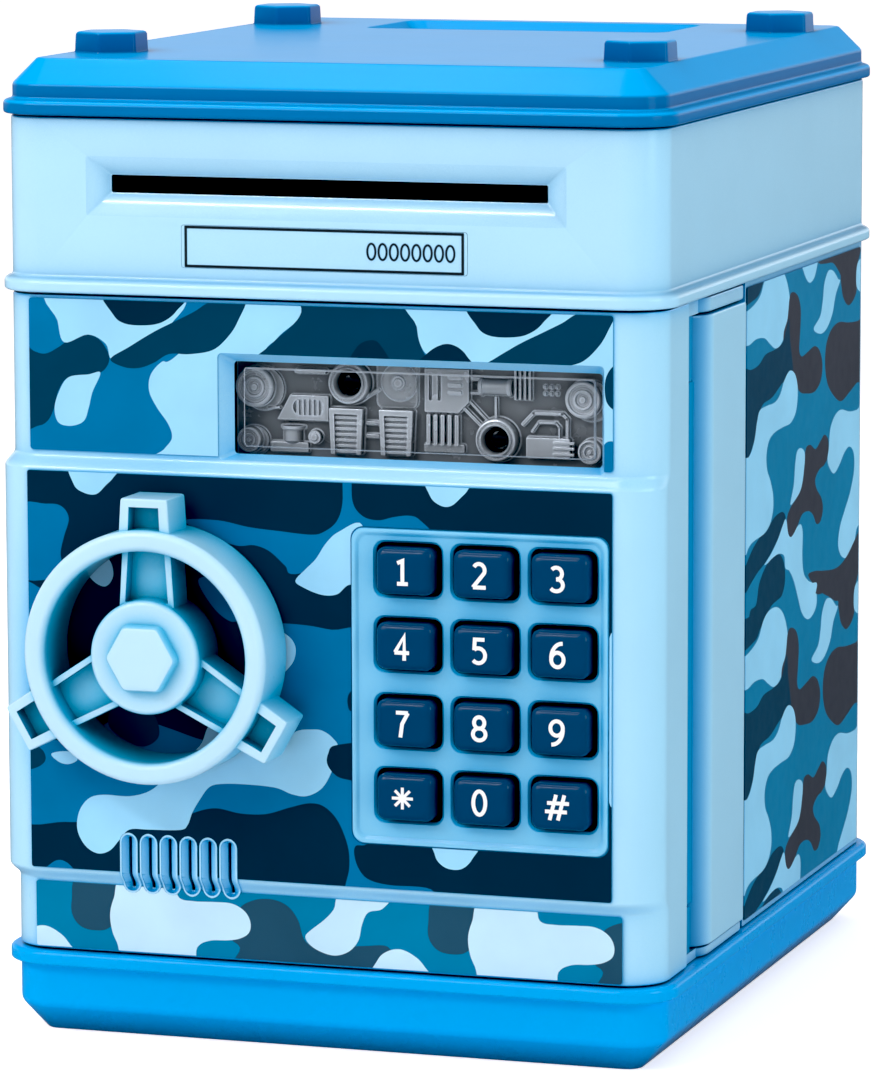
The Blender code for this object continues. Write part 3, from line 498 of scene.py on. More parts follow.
def metal(name, colour, rough=0.3, brushed=(1, 1, 1), scale=400.0, shade=0.6, shell=0.9,
          crease=2.5, highlight_width=0.1, ground=None):
    """Metal or metallised plastic with fine brushing, painted shade in its hollows and painted
    highlights along its edges.

    A flat ground at a given depth gets painted shade, darker than what stands out in front of it."""
    made, graph, shader = new_material(name)
    lines = graph.noise(scale, 4.0, brushed)
    tone = graph.mix(lines, shade_of(colour, 0.85), shade_of(colour, 1.1))
    # Painted shade: the ground darkens by how far back it lies.
    if ground:
        depth = graph.part(graph.place.outputs["Object"], "Y")
        height = graph.between(depth, ground * MM, (ground - 1.6) * MM)
        tone = graph.mix(height, shade_of(colour, 0.45), tone)
    # Painted shade in hollows.
    openness = graph.between(graph.openness(crease), 0.3, 1.0)
    tone = graph.mix(openness, shade_of(colour, 1 - shade), tone)
    # Painted highlight: edges turn nearly white and less metallic.
    edge = edge_highlight_mask(graph, highlight_width)
    graph.feed(shader, "Base Color", graph.mix(edge, tone, (0.95, 0.95, 0.96)))
    graph.feed(shader, "Metallic", graph.spread(edge, shell, shell * 0.3))
    graph.feed(shader, "Roughness", graph.spread(lines, rough - 0.08, rough + 0.1))
    graph.bump(shader, lines, 0.1, 0.00005)
    return made


def edge_highlight_mask(graph, width):
    """1 along edges, where the surface normal and its rounded copy part, and 0 on faces; it places
    the painted edge highlight.
    """
    rounded = graph.add("Bevel", {"Radius": width * MM}, samples=4).outputs["Normal"]
    normal = graph.add("NewGeometry").outputs["Normal"]
    agree = graph.add("VectorMath", {0: rounded, 1: normal}, operation="DOT_PRODUCT")
    return graph.between(agree.outputs["Value"], 0.99, 0.88)


def clear_cover(name):
    """Thin clear plastic: what is behind shows, slanted edges hold a painted highlight, the rest
    glints.
    """
    made, graph, shader = new_material(name)
    made.node_tree.nodes.remove(shader)
    glass = graph.add("BsdfTransparent", {"Color": (0.93, 0.97, 1.0)})
    gloss = graph.add("BsdfGlossy", {"Roughness": graph.spread(graph.noise(90.0), 0.02, 0.07)})
    grazing = graph.add("LayerWeight", {"Blend": 0.12}).outputs["Fresnel"]
    pane = graph.add("MixShader", {0: grazing, 1: glass.outputs["BSDF"],
                                   2: gloss.outputs["BSDF"]})
    facing = graph.part(graph.add("NewGeometry").outputs["True Normal"], "Y")
    facing = graph.add("Math", {0: facing}, operation="ABSOLUTE").outputs["Value"]
    # Painted highlight: a pale matt colour on the slanted edges.
    whitish = graph.add("BsdfDiffuse", {"Color": (0.75, 0.86, 0.95)})
    slanted = graph.spread(graph.between(facing, 0.98, 0.5), 0.0, 0.6)
    walls = graph.add("MixShader", {0: slanted, 1: pane.outputs["Shader"],
                                    2: whitish.outputs["BSDF"]})
    graph.feed(made.node_tree.nodes["Material Output"], "Surface", walls.outputs["Shader"])
    return made


def make_materials():
    """Every paint of the object, by a short name."""
    return {
        "pale": plastic("pale_blue", (0.41, 0.72, 0.93), (0.0, 0.28, 0.58), coat=0.6),
        "door": plastic("door_blue", (0.40, 0.72, 0.925), (0.0, 0.30, 0.62), coat=0.6,
                        start=0.56, glow=0.3),
        # Painted shade: the pale plastic, darker on faces turned to the front, for the shaded round
        # front of the hinge column.
        "column": plastic("column_painted_shade", (0.40, 0.72, 0.925), (0.0, 0.20, 0.45), coat=0.6,
                          start=0.56, fronts=(0.0, 0.27, 0.60)),
        # Painted shade: the pale plastic darkened for the gap before the hinge column.
        "gap": plastic("gap_painted_shade", (0.0, 0.25, 0.50), (0.0, 0.08, 0.2), coat=0.0, shine=0.05),
        # Painted shade: the keypad tray is the pale plastic, given a darker colour for the shade
        # between the keys.
        "tray": plastic("keypad_painted_shade", (0.22, 0.59, 0.85), (0.0, 0.30, 0.62), coat=0.5,
                        crease=9.0, start=0.6, glow=0.25),
        "wheel": plastic("wheel_blue", (0.48, 0.75, 0.92), (0.0, 0.38, 0.62), coat=0.4,
                         glow=0.2),
        "blue": plastic("deep_blue", (0.0, 0.37, 0.82), (0.0, 0.30, 0.70), rough=0.28, coat=0.12,
                        crease=12.0, start=0.35, shine=0.15, glow=0.25),
        # Painted shade: the lid's upright faces take a darker colour.
        "lid": plastic("lid_blue", (0.0, 0.36, 0.80), (0.0, 0.08, 0.25), rough=0.3, coat=0.06,
                       crease=9.0, start=0.4, shine=0.1, texture=0.02, vary=0.01,
                       walls=(0.0, 0.155, 0.40)),
        "navy": plastic("key_navy", (0.0, 0.050, 0.135), (0.0, 0.012, 0.04), rough=0.33,
                        coat=0.2, crease=2.0, start=0.42, shine=0.15),
        "white": plastic("white_part", (0.78, 0.79, 0.80), (0.45, 0.46, 0.5), rough=0.4),
        "ink": plastic("white_ink", (0.86, 0.89, 0.91), (0.7, 0.74, 0.78), rough=0.45, coat=0),
        "dark_ink": plastic("black_ink", (0.012, 0.016, 0.02), (0.005, 0.006, 0.01), rough=0.45,
                            coat=0),
        "grey": plastic("grey_part", (0.16, 0.18, 0.20), (0.05, 0.055, 0.06), rough=0.45, coat=0),
        "black": plastic("black_part", (0.02, 0.02, 0.022), (0.005, 0.005, 0.005), rough=0.5,
                         coat=0),
        "rubber": plastic("rubber_part", (0.03, 0.03, 0.03), (0.01, 0.01, 0.01), rough=0.75,
                          coat=0, grain=500.0, texture=0.4),
        "board": plastic("green_board", (0.015, 0.14, 0.06), (0.005, 0.05, 0.02), rough=0.4),
        "jacket": metal("cell_jacket", (0.10, 0.10, 0.12), 0.35),
        "steel": metal("steel", (0.62, 0.63, 0.65), 0.28, (1, 1, 12)),
        # Painted shade on the ground and in creases, painted highlights along edges.
        "relief": metal("silvered", (0.88, 0.87, 0.86), 0.24, scale=250.0, shade=0.93, shell=0.4,
                        crease=3.2, highlight_width=0.6, ground=RELIEF_HIGH.y - RELIEF_GROUND),
        "bright": metal("bright_silver", (0.85, 0.86, 0.87), 0.16, shade=0.5),
        "clear": clear_cover("clear_plastic"),
        "red_lens": plastic("red_lens", (0.05, 0.028, 0.028), (0.02, 0.012, 0.012), 0.08, 1.0),
        "green_lens": plastic("green_lens", (0.03, 0.04, 0.036), (0.012, 0.016, 0.014), 0.08, 1.0),
    }


PAINT = make_materials()
INKS = {
    "mid": film("ink_mid_blue", (0.0, 0.160, 0.360)),
    "sky": film("ink_sky_blue", (0.31, 0.66, 0.91)),
    "pale": film("ink_pale_blue", (0.53, 0.79, 0.97)),
    "night": film("ink_night_blue", (0.0, 0.026, 0.056)),
    "navy": film("ink_navy", (0.0, 0.046, 0.096)),
    "teal": film("ink_teal", (0.0, 0.20, 0.38)),
    "slate": film("ink_slate", (0.045, 0.048, 0.065)),
    "steel": film("ink_steel_blue", (0.022, 0.08, 0.135)),
}

NODES = frame["nodes"]


# ---------------------------------------------------------------- base, body and head

def make_base():
    """The blue foot: a chamfered tray with a lipped rim and the battery box inside."""
    outer = rounded_path([(-1, 0, 0), (5.0, 0, 0), (0, 5.5, 2.5), (0, 13.5, 0.7),
                          (-RIM, 13.5, 0.5), (-RIM, RIM_TOP, 0.9), (4.0, RIM_TOP, 0)])[1:]
    inner = [(7.2, RIM_TOP), (7.2, 2.6)]
    base = level_loft("base_shell", outer + inner, lambda inset: safe_plan(inset, 10))
    low, high = mm_box("battery_cover")
    left, right = low.x - 1.3, high.x + 1.3
    front, back = low.y - 1.9, high.y + 1.9
    island = slab("island", [plan(left, right, front, back, 1.5)], "Z", 2.0, 17.8, 0.4)
    bay = slab("bay", [plan(left + 2.4, right - 2.4, front + 3.6, back - 3.6, 0.8)], "Z", -2, 16.6)
    seat = slab("seat", [plan(low.x - 0.3, high.x + 0.3, low.y - 0.3, high.y + 0.3, 1.2)], "Z",
                -2, 1.9)
    join(base, island)
    cut(base, bay, seat)
    finish(soften(base, 0.35), PAINT["blue"], "bank", "blue_plastic", "base_tray")


def make_battery_cover():
    """The battery cover with three finger grips and a well for its screw."""
    low, high = mm_box("battery_cover")
    cover = slab("battery_lid", [plan(low.x, high.x, low.y, high.y, 1.0)], "Z", low.z, high.z, 0.3)
    grips = []
    for row in range(3):
        y = low.y + 6 + 2.2 * row
        grips.append(slab("grip", [plan(-9, 9, y, y + 1.2, 0.5)], "Z", low.z - 1, low.z + 0.5))
    centre = node_middle("battery_cover_screw")
    well = lathe("well", [(0, -2), (2.6, -2), (1.7, 0.9), (1.7, 3), (0, 3)],
                 (centre.x, centre.y, 0), (0, 0, 1), 32)
    cut(cover, *grips, well)
    finish(soften(cover, 0.15), PAINT["blue"], "battery_door", "blue_plastic", "battery_cover")


def make_body():
    """The pale shell: both sides and the back, the hinge jambs and the knuckle plates."""
    right_end, front_end = -19.0, -57.2
    outer = [p for p in safe_plan(0, 10) if p[1] > 0]
    inner = [p for p in safe_plan(WALL, 10) if p[1] > 0]
    outline = [(SIDE, right_end)] + outer + [(-SIDE, front_end), (-SIDE + WALL, front_end)]
    outline += inner[::-1] + [(SIDE - WALL, right_end)]
    body = slab("body_walls", [outline], "Z", BODY_LOW.z, BODY_HIGH.z)
    tools = [slab("jamb", [plan(-SIDE + 0.6, -55.5, front_end, -54.7, 0.3)], "Z", BODY_LOW.z,
                  BODY_HIGH.z)]
    for low, high, jamb_low, jamb_high in (
            (BODY_LOW.z, COLUMN_LOW - 0.3, BODY_LOW.z, 27.0),
            (COLUMN_HIGH + 0.3, BODY_HIGH.z, 125.0, BODY_HIGH.z)):
        tools.append(slab("plate", [plan(48.0, SIDE - 0.8, -56.6, -17.6, 0.4)], "Z", low, high))
        tools.append(slab("knuckle", [column_outline(0.6)], "Z", low, high, 0.4))
        tools.append(slab("hinge_jamb", [plan(55.0, SIDE - 0.9, -56.6, -52.3, 0.3)], "Z",
                          jamb_low, jamb_high))
    join(body, *tools)
    pin = node_middle("hinge_pin_lower")
    cut(body, rod("pin_seat", pin.x, pin.y, 0, 30, PIN_BORE),
        rod("pin_seat", pin.x, pin.y, 130, 138.6, PIN_BORE))
    finish(soften(body, 0.3), PAINT["pale"], "bank", "pale_plastic", "body_shell")
    shade_hinge(body)


def make_head():
    """The pale head: a rounded ridge below, the funnel round the note slot, the label seat."""
    ridge = -HEAD_LOW.x - SIDE
    low, top = HEAD_LOW.z, HEAD_HIGH.z
    outer = rounded_path([(4.0, low, 0), (-ridge, low, 0.6), (-ridge, low + 2.3, 1.1),
                          (0, low + 2.9, 0.7), (0, top, 0.5), (WALL, top, 0)])
    flange = [(WALL, low + 2.2), (20.0, low + 2.2), (20.0, low)]
    head = level_loft("head_shell", outer + flange, lambda inset: safe_plan(min(inset, 20.0), 10),
                      closed=True)
    slot = slab("slot", [plan(-SLOT_HALF, SLOT_HALF, SLOT_LOW, SLOT_HIGH, 0.3)], "Y", FRONT - 2,
                FRONT + 8)
    label_low, label_high = mm_box("number_label")
    label = (label_low.x, label_high.x, label_low.z, label_high.z)
    seat = slab("seat", [inset_plan(label, -0.05, 0.5)], "Y", FRONT - 2, FRONT + 0.6)
    cut(head, slot, slot_funnel(), seat)
    finish(soften(head, 0.25, 2, 40), PAINT["pale"], "bank", "pale_plastic", "head_housing")


def slot_funnel():
    """The sloping frame round the note slot, a little lower at its top."""
    levels = []
    for depth, wider in ((-0.5, 5.0), (0.0, 4.2), (2.3, 0.35), (2.4, 0.05)):
        levels.append((FRONT + depth, plan(-SLOT_HALF - wider, SLOT_HALF + wider,
                                           SLOT_LOW - wider, SLOT_HIGH + wider * 0.85, 0.35, 3)))
    return front_loft("funnel", levels)


# ---------------------------------------------------------------- lid

def make_lid():
    """The blue lid: a lipped flange, a short skirt, a bevelled deck and four studs."""
    flange = LID_HIGH.x - SIDE
    low = LID_LOW.z
    outer = rounded_path([(3.0, low, 0), (-flange, low, 0.6), (-flange, low + 2.4, 0.9),
                          (0.3, low + 2.9, 0.6), (0.3, low + 5.5, 1.1), (5.0, LID_TOP, 1.0),
                          (9.0, LID_TOP, 0)])
    inner = [(30.0, LID_TOP), (30.0, LID_UNDER), (6.0, LID_UNDER), (3.0, LID_UNDER - 3)]
    lid = level_loft("lid_shell", outer + inner, lid_plan, closed=True)
    deck = slab("deck", [plan(-SIDE + 20, SIDE - 20, FRONT + 20, BACK - 20, 4)], "Z", LID_UNDER,
                LID_TOP)
    join(lid, deck)
    for sx, sy in ((-1, -1), (1, -1), (-1, 1), (1, 1)):
        join(lid, make_stud(sx * STUD_X, sy * STUD_Y))
    add_coin_trough(lid)
    for name in ("lid_screw_left", "lid_screw_right"):
        screw = node_middle(name)
        join(lid, rod("boss", screw.x, screw.y, 174.9, 181.3, 3.4))
        cut(lid, rod("bore", screw.x, screw.y, 174, 179.3, 1.35, 20))
    finish(even_shading(lid), PAINT["lid"], "bank", "blue_plastic", "lid")


def lid_plan(inset):
    """The lid's plan, moved in by an inset; the deck's middle is left open."""
    return safe_plan(min(inset, 25.0), 10)


def make_stud(x, y):
    """A hexagonal stud with slightly sloping sides, a softened top edge and a flat top."""
    top = LID_HIGH.z
    path = [(7.5, LID_TOP - 0.6), (7.1, LID_TOP + 0.3), (6.95, top - 0.6), (6.75, top - 0.2),
            (6.35, top - 0.02), (3.0, top), (0.5, top)]
    rings = []
    for radius, height in path:
        rings.append([(x + px, y + py, height)
                      for px, py in hexagon(radius, 0.7, turn=math.pi / 6)])
    return loft("stud", rings)


def hexagon(radius, corner, turn=0.0, steps=3):
    """A hexagon's outline with slightly rounded corners."""
    corners = [Vector((radius * math.cos(turn + math.pi * k / 3),
                       radius * math.sin(turn + math.pi * k / 3))) for k in range(6)]
    corner = min(corner, radius * 0.3)
    points = []
    for index, here in enumerate(corners):
        before = (corners[index - 1] - here).normalized()
        after = (corners[(index + 1) % 6] - here).normalized()
        for step in range(steps + 1):
            t = step / steps
            a = here + before * corner * (1 - t)
            b = here + after * corner * t
            points.append(tuple(a.lerp(b, t)))
    return points


def add_coin_trough(lid):
    """A shallow sloping tray in the deck with the coin slot along its front."""
    bottom = slab("trough_bottom", [plan(-33, 33, 33, 68, 3)], "Z", 177.6, 181.4)
    join(lid, bottom)
    rings = []
    for inset, height in ((-2.0, LID_TOP + 1.0), (-0.6, LID_TOP + 0.02), (-0.2, LID_TOP - 0.15),
                          (2.2, LID_UNDER), (2.8, LID_UNDER - 0.25), (3.4, LID_UNDER - 0.3)):
        rings.append([(x, y, height) for x, y in
                      plan(-31 + inset, 31 - inset, 37 + inset, 66 - inset, 3.5 - inset * 0.3, 6)])
    trough = loft("trough", rings)
    slot = slab("coin_slot", [plan(-20, 20, 41.0, 44.2, 1.5)], "Z", 170, 190)
    cut(lid, trough, slot)


# ---------------------------------------------------------------- door

def door_plan(left, right, front, back, radius, steps=10):
    """Rounded front corners and a straight back, starting at the back right corner."""
    points = [(right, back), (left, back)]
    for cx, first in ((left + radius, 180), (right - radius, 270)):
        for step in range(steps + 1):
            angle = math.radians(first + 90 * step / steps)
            points.append((cx + radius * math.cos(angle), front + radius + radius * math.sin(angle)))
    return points


def door_level(amount, inset=0.0):
    """The door's outline where the raised middle stands out by a share of its full height."""
    return door_plan(-SIDE - RAISE_LEFT * amount + inset, SIDE - inset,
                     FRONT - RAISE * amount + inset, DOOR_BACK - inset, CORNER)


def swell(start, end, steps=8):
    """Heights and shares of a smooth rise from 0 to 1 between two heights."""
    for step in range(steps + 1):
        t = step / steps
        yield start + (end - start) * t, t * t * (3 - 2 * t)


def make_door():
    """The door: one moulding whose middle stands out, the hinge column and its neck."""
    rings = []
    low, high = BODY_LOW.z, BODY_HIGH.z
    levels = [(low, 0.0, 0.4), (low + 0.15, 0.0, 0.1), (low + 0.45, 0.0, 0.0)]
    levels += [(z, share, 0.0) for z, share in swell(STEP_LOW - STEP_RISE, STEP_LOW + STEP_RISE)]
    levels += [(z, 1 - share, 0.0)
               for z, share in swell(STEP_HIGH - STEP_RISE, STEP_HIGH + STEP_RISE)]
    levels += [(high - 0.45, 0.0, 0.0), (high - 0.15, 0.0, 0.1), (high, 0.0, 0.4)]
    for z, amount, inset in levels:
        rings.append([(x, y, z) for x, y in door_level(amount, inset)])
    door = loft("door_front", rings)
    hollow = slab("hollow", [door_plan(-SIDE + DOOR_SKIN, SIDE - DOOR_SKIN, FRONT + DOOR_SKIN,
                                       DOOR_BACK + 2, CORNER - DOOR_SKIN)], "Z",
                  low + DOOR_SKIN, high - DOOR_SKIN)
    cut(door, hollow)
    column = slab("column", [column_outline()], "Z", COLUMN_LOW, COLUMN_HIGH, 0.5)
    neck = slab("neck", [plan(57.5, SIDE - 1.3, DOOR_BACK - 3, -49.0, 0.2)], "Z", 27.4, 124.6)
    join(door, column, neck)
    join(door, *[vent_lip(x) for x in VENT_XS])
    cut(door, window_tool(), keypad_tool(), wheel_tool(), *vent_tools())
    pin = node_middle("hinge_pin_lower")
    for start in (COLUMN_LOW - 1, 130.0):
        cut(door, rod("pin_hole", pin.x, pin.y, start, start + 10, PIN_BORE))
    for name in ("cover_screw_left", "cover_screw_right"):
        screw = node_middle(name)
        join(door, lathe("boss", [(0, 1), (3.0, 1), (3.0, 13.75), (0, 13.75)],
                         (screw.x, FRONT, screw.z), (0, 1, 0), 24))
        cut(door, lathe("bore", [(0, 0), (1.25, 0), (1.25, 8), (0, 8)], (screw.x, -67, screw.z),
                        (0, 1, 0), 20))
    finish(soften(door, 0.18, 2, 50), PAINT["door"], "door", "pale_plastic", "door_shell")
    shade_hinge(door)


def shade_hinge(piece):
    """Painted shade on the round front of the hinge column and in the gap before it."""
    piece.data.materials.append(PAINT["column"])
    piece.data.materials.append(PAINT["gap"])
    for face in piece.data.polygons:
        x, y, _ = face.center / MM
        if x > 52 and -52 < y < -42 and face.normal.y < -0.02 and x < SIDE + 2:
            face.material_index = 1
        elif x > 55 and -57.4 < y < -51.3 and face.normal.x > 0.5:
            face.material_index = 2


def column_outline(reach=1.2):
    """The hinge column's plan, its front edge fully rounded; it reaches past the side."""
    low_x, high_x, low_y, high_y = 54.0, SIDE + reach, -51.4, -20.0
    points = [(low_x, low_y)]
    for cx, cy, radius, first in ((high_x - 7.0, low_y + 7.0, 7.0, -90),
                                  (high_x - 3.0, high_y - 3.0, 3.0, 0)):
        for step in range(11):
            angle = math.radians(first + 9 * step)
            points.append((cx + radius * math.cos(angle), cy + radius * math.sin(angle)))
    return points + [(low_x, high_y)]



def window_tool():
    """The window opening, its frame sloping in like a funnel, widest on the left."""
    levels = []
    for depth, share in ((-1.0, -0.3), (0.0, 0.0), (0.25, 0.12), (2.1, 0.92), (2.3, 1.0),
                         (7.0, 1.0)):
        box = [edge + (inner - edge) * share for edge, inner in zip(WINDOW_EDGE, WINDOW_OPENING)]
        levels.append((FRONT + depth, plan(*box, 0.7, 5)))
    return front_loft("window", levels)


def keypad_tool():
    """The opening that the keypad's tray plugs into."""
    return slab("keypad_opening", [plan(*KEYPAD_OPENING, 1.2)], "Y", RAISED - 1, -70)


def wheel_tool():
    """The round hole for the handwheel's shaft."""
    return lathe("wheel_hole", [(0, 0), (4.1, 0), (4.1, 10), (0, 10)],
                 (WHEEL_X, RAISED - 1, WHEEL_Z), (0, 1, 0), 40)


def vent_levels(grow):
    """Heights down a vent with its half width and how far back the door's front lies there."""
    half = VENT_HALF + grow
    low, high = VENT_LOW - grow, VENT_HIGH + grow
    for step in range(33):
        z = low + 0.02 + (high - low - 0.04) * (1 - math.cos(math.pi * step / 32)) / 2
        reach = min(half, z - low, high - z)
        yield z, math.sqrt(max(half * half - (half - reach) ** 2, 0.01)), vent_surface(z)


def vent_lip(x):
    """The low rim round a vent, standing just proud of the step."""
    rings = []
    for z, half, y in vent_levels(VENT_LIP):
        edge = min(0.14, half * 0.4)
        rings.append([(x - half, y + 1.0, z), (x - half, y - 0.16, z),
                      (x - half + edge, y - 0.3, z), (x + half - edge, y - 0.3, z),
                      (x + half, y - 0.16, z), (x + half, y + 1.0, z)])
    return loft("lip", rings)


def vent_tools():
    """Upright slots across the lower step, and the hollow that thins the wall behind them."""
    tools = [slab("thinning", [plan(VENT_XS[0] - 2.5, VENT_XS[-1] + 2.5, 28.6, 41.0, 0.5)], "Y",
                  RAISED + 3.2, -73)]
    for x in VENT_XS:
        tools.append(slab("slit", [plan(x - 0.42, x + 0.22, 29.1, 39.0, 0.3, 3)], "Y",
                          RAISED - 1, -73))
        tools.append(vent_groove(x))
    return tools


def vent_surface(z):
    """How far back the door's front lies at a height across the lower step."""
    t = min(max((z - STEP_LOW + STEP_RISE) / (2 * STEP_RISE), 0.0), 1.0)
    return FRONT - RAISE * t * t * (3 - 2 * t)


def vent_groove(x):
    """A groove whose mouth follows the step and whose floor narrows to the slit."""
    rings = []
    for z, half, y in vent_levels(0.0):
        floor = min(0.33, half * 0.3)
        depth = min(0.9, half * 0.7)
        rings.append([(x - half, y - 1.0, z), (x + half, y - 1.0, z), (x + half, y - 0.1, z),
                      (x - 0.1 + floor, y + depth, z), (x - 0.1 - floor, y + depth, z),
                      (x - half, y - 0.1, z)])
    return loft("groove", rings)


def stadium(x, low, high, half, steps=8):
    """An upright slot outline with round ends, counter-clockwise."""
    return (arc(x, low + half, half, half, 180, 360, steps)
            + arc(x, high - half, half, half, 0, 180, steps))


# ---------------------------------------------------------------- keypad

def key_place(tag):
    """The middle of a key's face."""
    low, high = mm_box(f"key_{tag}")
    return (low.x + high.x) / 2, low.y, (low.z + high.z) / 2


def make_keypad():
    """The pale tray the keys stand in: a rounded rim and a rounded opening for each key."""
    outer = (BEZEL_LOW.x, BEZEL_HIGH.x, BEZEL_LOW.z, BEZEL_HIGH.z)
    front, back = BEZEL_LOW.y, BEZEL_HIGH.y
    rim = ((RAISED - 0.02, 0.0), (front + 0.3, 0.0), (front + 0.08, 0.12), (front, 0.4),
           (front + 0.02, 0.7), (front + 0.12, 0.95), (front + 0.38, 1.3), (front + 0.45, 1.8))
    tray = front_loft("keypad_tray", [(y, inset_plan(outer, inset, 2.4 - inset * 0.4))
                                      for y, inset in rim])
    join(tray, slab("plug", [inset_plan(KEYPAD_OPENING, 0.3, 1.0)], "Y", RAISED - 0.3, back))
    for tag in KEY_NAMES:
        x, _, z = key_place(tag)
        hole = (x - 6.3, x + 6.3, z - 4.85, z + 4.85)
        mouth = ((front + 0.3, 0.6), (front + 0.55, 0.3), (front + 1.0, 0.0), (-70, 0.0))
        cut(tray, front_loft("hole", [(y, inset_plan(hole, -grow, 1.6 + grow, 6))
                                      for y, grow in mouth]))
    finish(even_shading(tray), PAINT["tray"], "door", "pale_plastic", "keypad_bezel")


def make_key(tag):
    """A key: a rounded block with softened front edges on a hidden flange."""
    x, front, z = key_place(tag)
    low, high = mm_box(f"key_{tag}")
    block_edge = (x - 5.4, x + 5.4, z - 4.3, z + 4.3)
    levels = []
    for y, inset in ((high.y - 2.0, 0.0), (front + 1.3, 0.0), (front + 0.8, 0.12),
                     (front + 0.35, 0.42), (front + 0.1, 0.85), (front, 1.4), (front, 2.6)):
        levels.append((y, inset_plan(block_edge, inset, max(1.5 - inset * 0.35, 0.5), 6)))
    cap = front_loft(f"key_body_{tag}", levels, smooth=45)
    flange = slab("flange", [plan(low.x, high.x, low.z, high.z, 1.2)], "Y", high.y - 1.1,
                  high.y - 0.02, 0.2)
    join(cap, flange)
    body = f"key_{tag}_cap"
    finish(even_shading(cap), PAINT["navy"], body, "navy_plastic", f"key_{tag}")
    make_key_mark(tag, body, x, front, z)


def make_key_mark(tag, body, x, front, z):
    """The printed mark of a key: a digit, a star of eight rays or a leaning hash."""
    if tag == "star":
        lines, width = star_strokes(), 0.56
    elif tag == "hash":
        lines, width = hash_strokes(), 0.70
    else:
        lines, width = digit_strokes(tag), 0.72
    height = 4.9 if tag.isdigit() else 5.6
    piece = mark(f"key_mark_{tag}", lines, height, width, x - 0.25, z, front)
    finish(piece, PAINT["ink"], body, "navy_plastic")


# ---------------------------------------------------------------- handwheel

def about_wheel(points, angle):
    """Points given as (across, outward), turned from pointing up by an angle."""
    turned = []
    for across, along in points:
        turned.append((WHEEL_X + across * math.cos(angle) - along * math.sin(angle),
                       WHEEL_Z + across * math.sin(angle) + along * math.cos(angle)))
    return turned


def make_handwheel():
    """The wheel: a round rim, three channelled spokes, three pocketed lugs and the hub."""
    front = -WHEEL_LOW.y - 1.6
    rim = rounded_path([(21.5, front, 0), (23.6, front, 1.3), (23.6, front - 12.6, 0.6),
                        (19.6, front - 12.6, 0.6), (19.6, front, 1.3), (21.5, front, 0)], 6)
    wheel = lathe("wheel", rim[:-1], (WHEEL_X, 0, WHEEL_Z), (0, -1, 0), 96)
    hub_path = rounded_path([(0, front - 0.6, 0), (10.6, front - 0.6, 1.0),
                             (10.8, front - 11.0, 0.3), (3.8, front - 11.0, 0),
                             (3.8, 70.4, 0), (0, 70.4, 0)], 5)
    hub = lathe("hub", hub_path, (WHEEL_X, 0, WHEEL_Z), (0, -1, 0), 80)
    drive = slab("drive", [plan(WHEEL_X - 2.2, WHEEL_X + 2.2, WHEEL_Z - 2.2, WHEEL_Z + 2.2, 0.2)],
                 "Y", -71.5, -51.6)
    nut = front_loft("nut", [(-y, [(WHEEL_X + u, WHEEL_Z + v) for u, v in hexagon(radius, 0.7)])
                             for y, radius in ((front - 1.0, 7.1), (front + 0.9, 6.9),
                                               (front + 1.4, 6.55), (front + 1.58, 6.0),
                                               (front + 1.6, 5.0))])
    tools = [hub, drive, nut]
    for index in range(3):
        tools += wheel_arm(2 * math.pi * index / 3, -front)
    join(wheel, *tools)
    finish(soften(wheel, 0.3, 2, 40), PAINT["wheel"], "handwheel_set", "pale_plastic",
           "handwheel")


def wheel_arm(angle, front):
    """A spoke with a channel down its front, and the pocketed lug beyond the rim."""
    spoke = slab("spoke", [about_wheel(taper(5.5, 7.0, 4.7, 20.4), angle)], "Y", front + 2.4,
                 front + 9.6, 0.3)
    channel = slab("channel", [about_wheel(taper(4.2, 10.0, 3.5, 20.0), angle)], "Y", front - 1,
                   front + 5.2)
    lug = slab("lug", [about_wheel(taper(5.1, 21.6, 4.6, 29.3), angle)], "Y", front + 1.2,
               front + 10.6, 0.5)
    pocket = slab("pocket", [about_wheel(taper(3.1, 23.2, 2.9, 27.7), angle)], "Y", front - 1,
                  front + 4.6)
    return [cut(spoke, channel), cut(lug, pocket)]


def taper(half_near, near, half_far, far):
    """A straight-sided tongue: its half width and distance at both ends."""
    return [(-half_near, near), (half_near, near), (half_far, far), (-half_far, far)]


# ---------------------------------------------------------------- digits

def arc(cx, cy, rx, ry, start, end, steps=14):
    """Points of an elliptical arc; angles in degrees, anticlockwise from the right."""
    angles = [math.radians(start + (end - start) * k / steps) for k in range(steps + 1)]
    return [(cx + rx * math.cos(a), cy + ry * math.sin(a)) for a in angles]


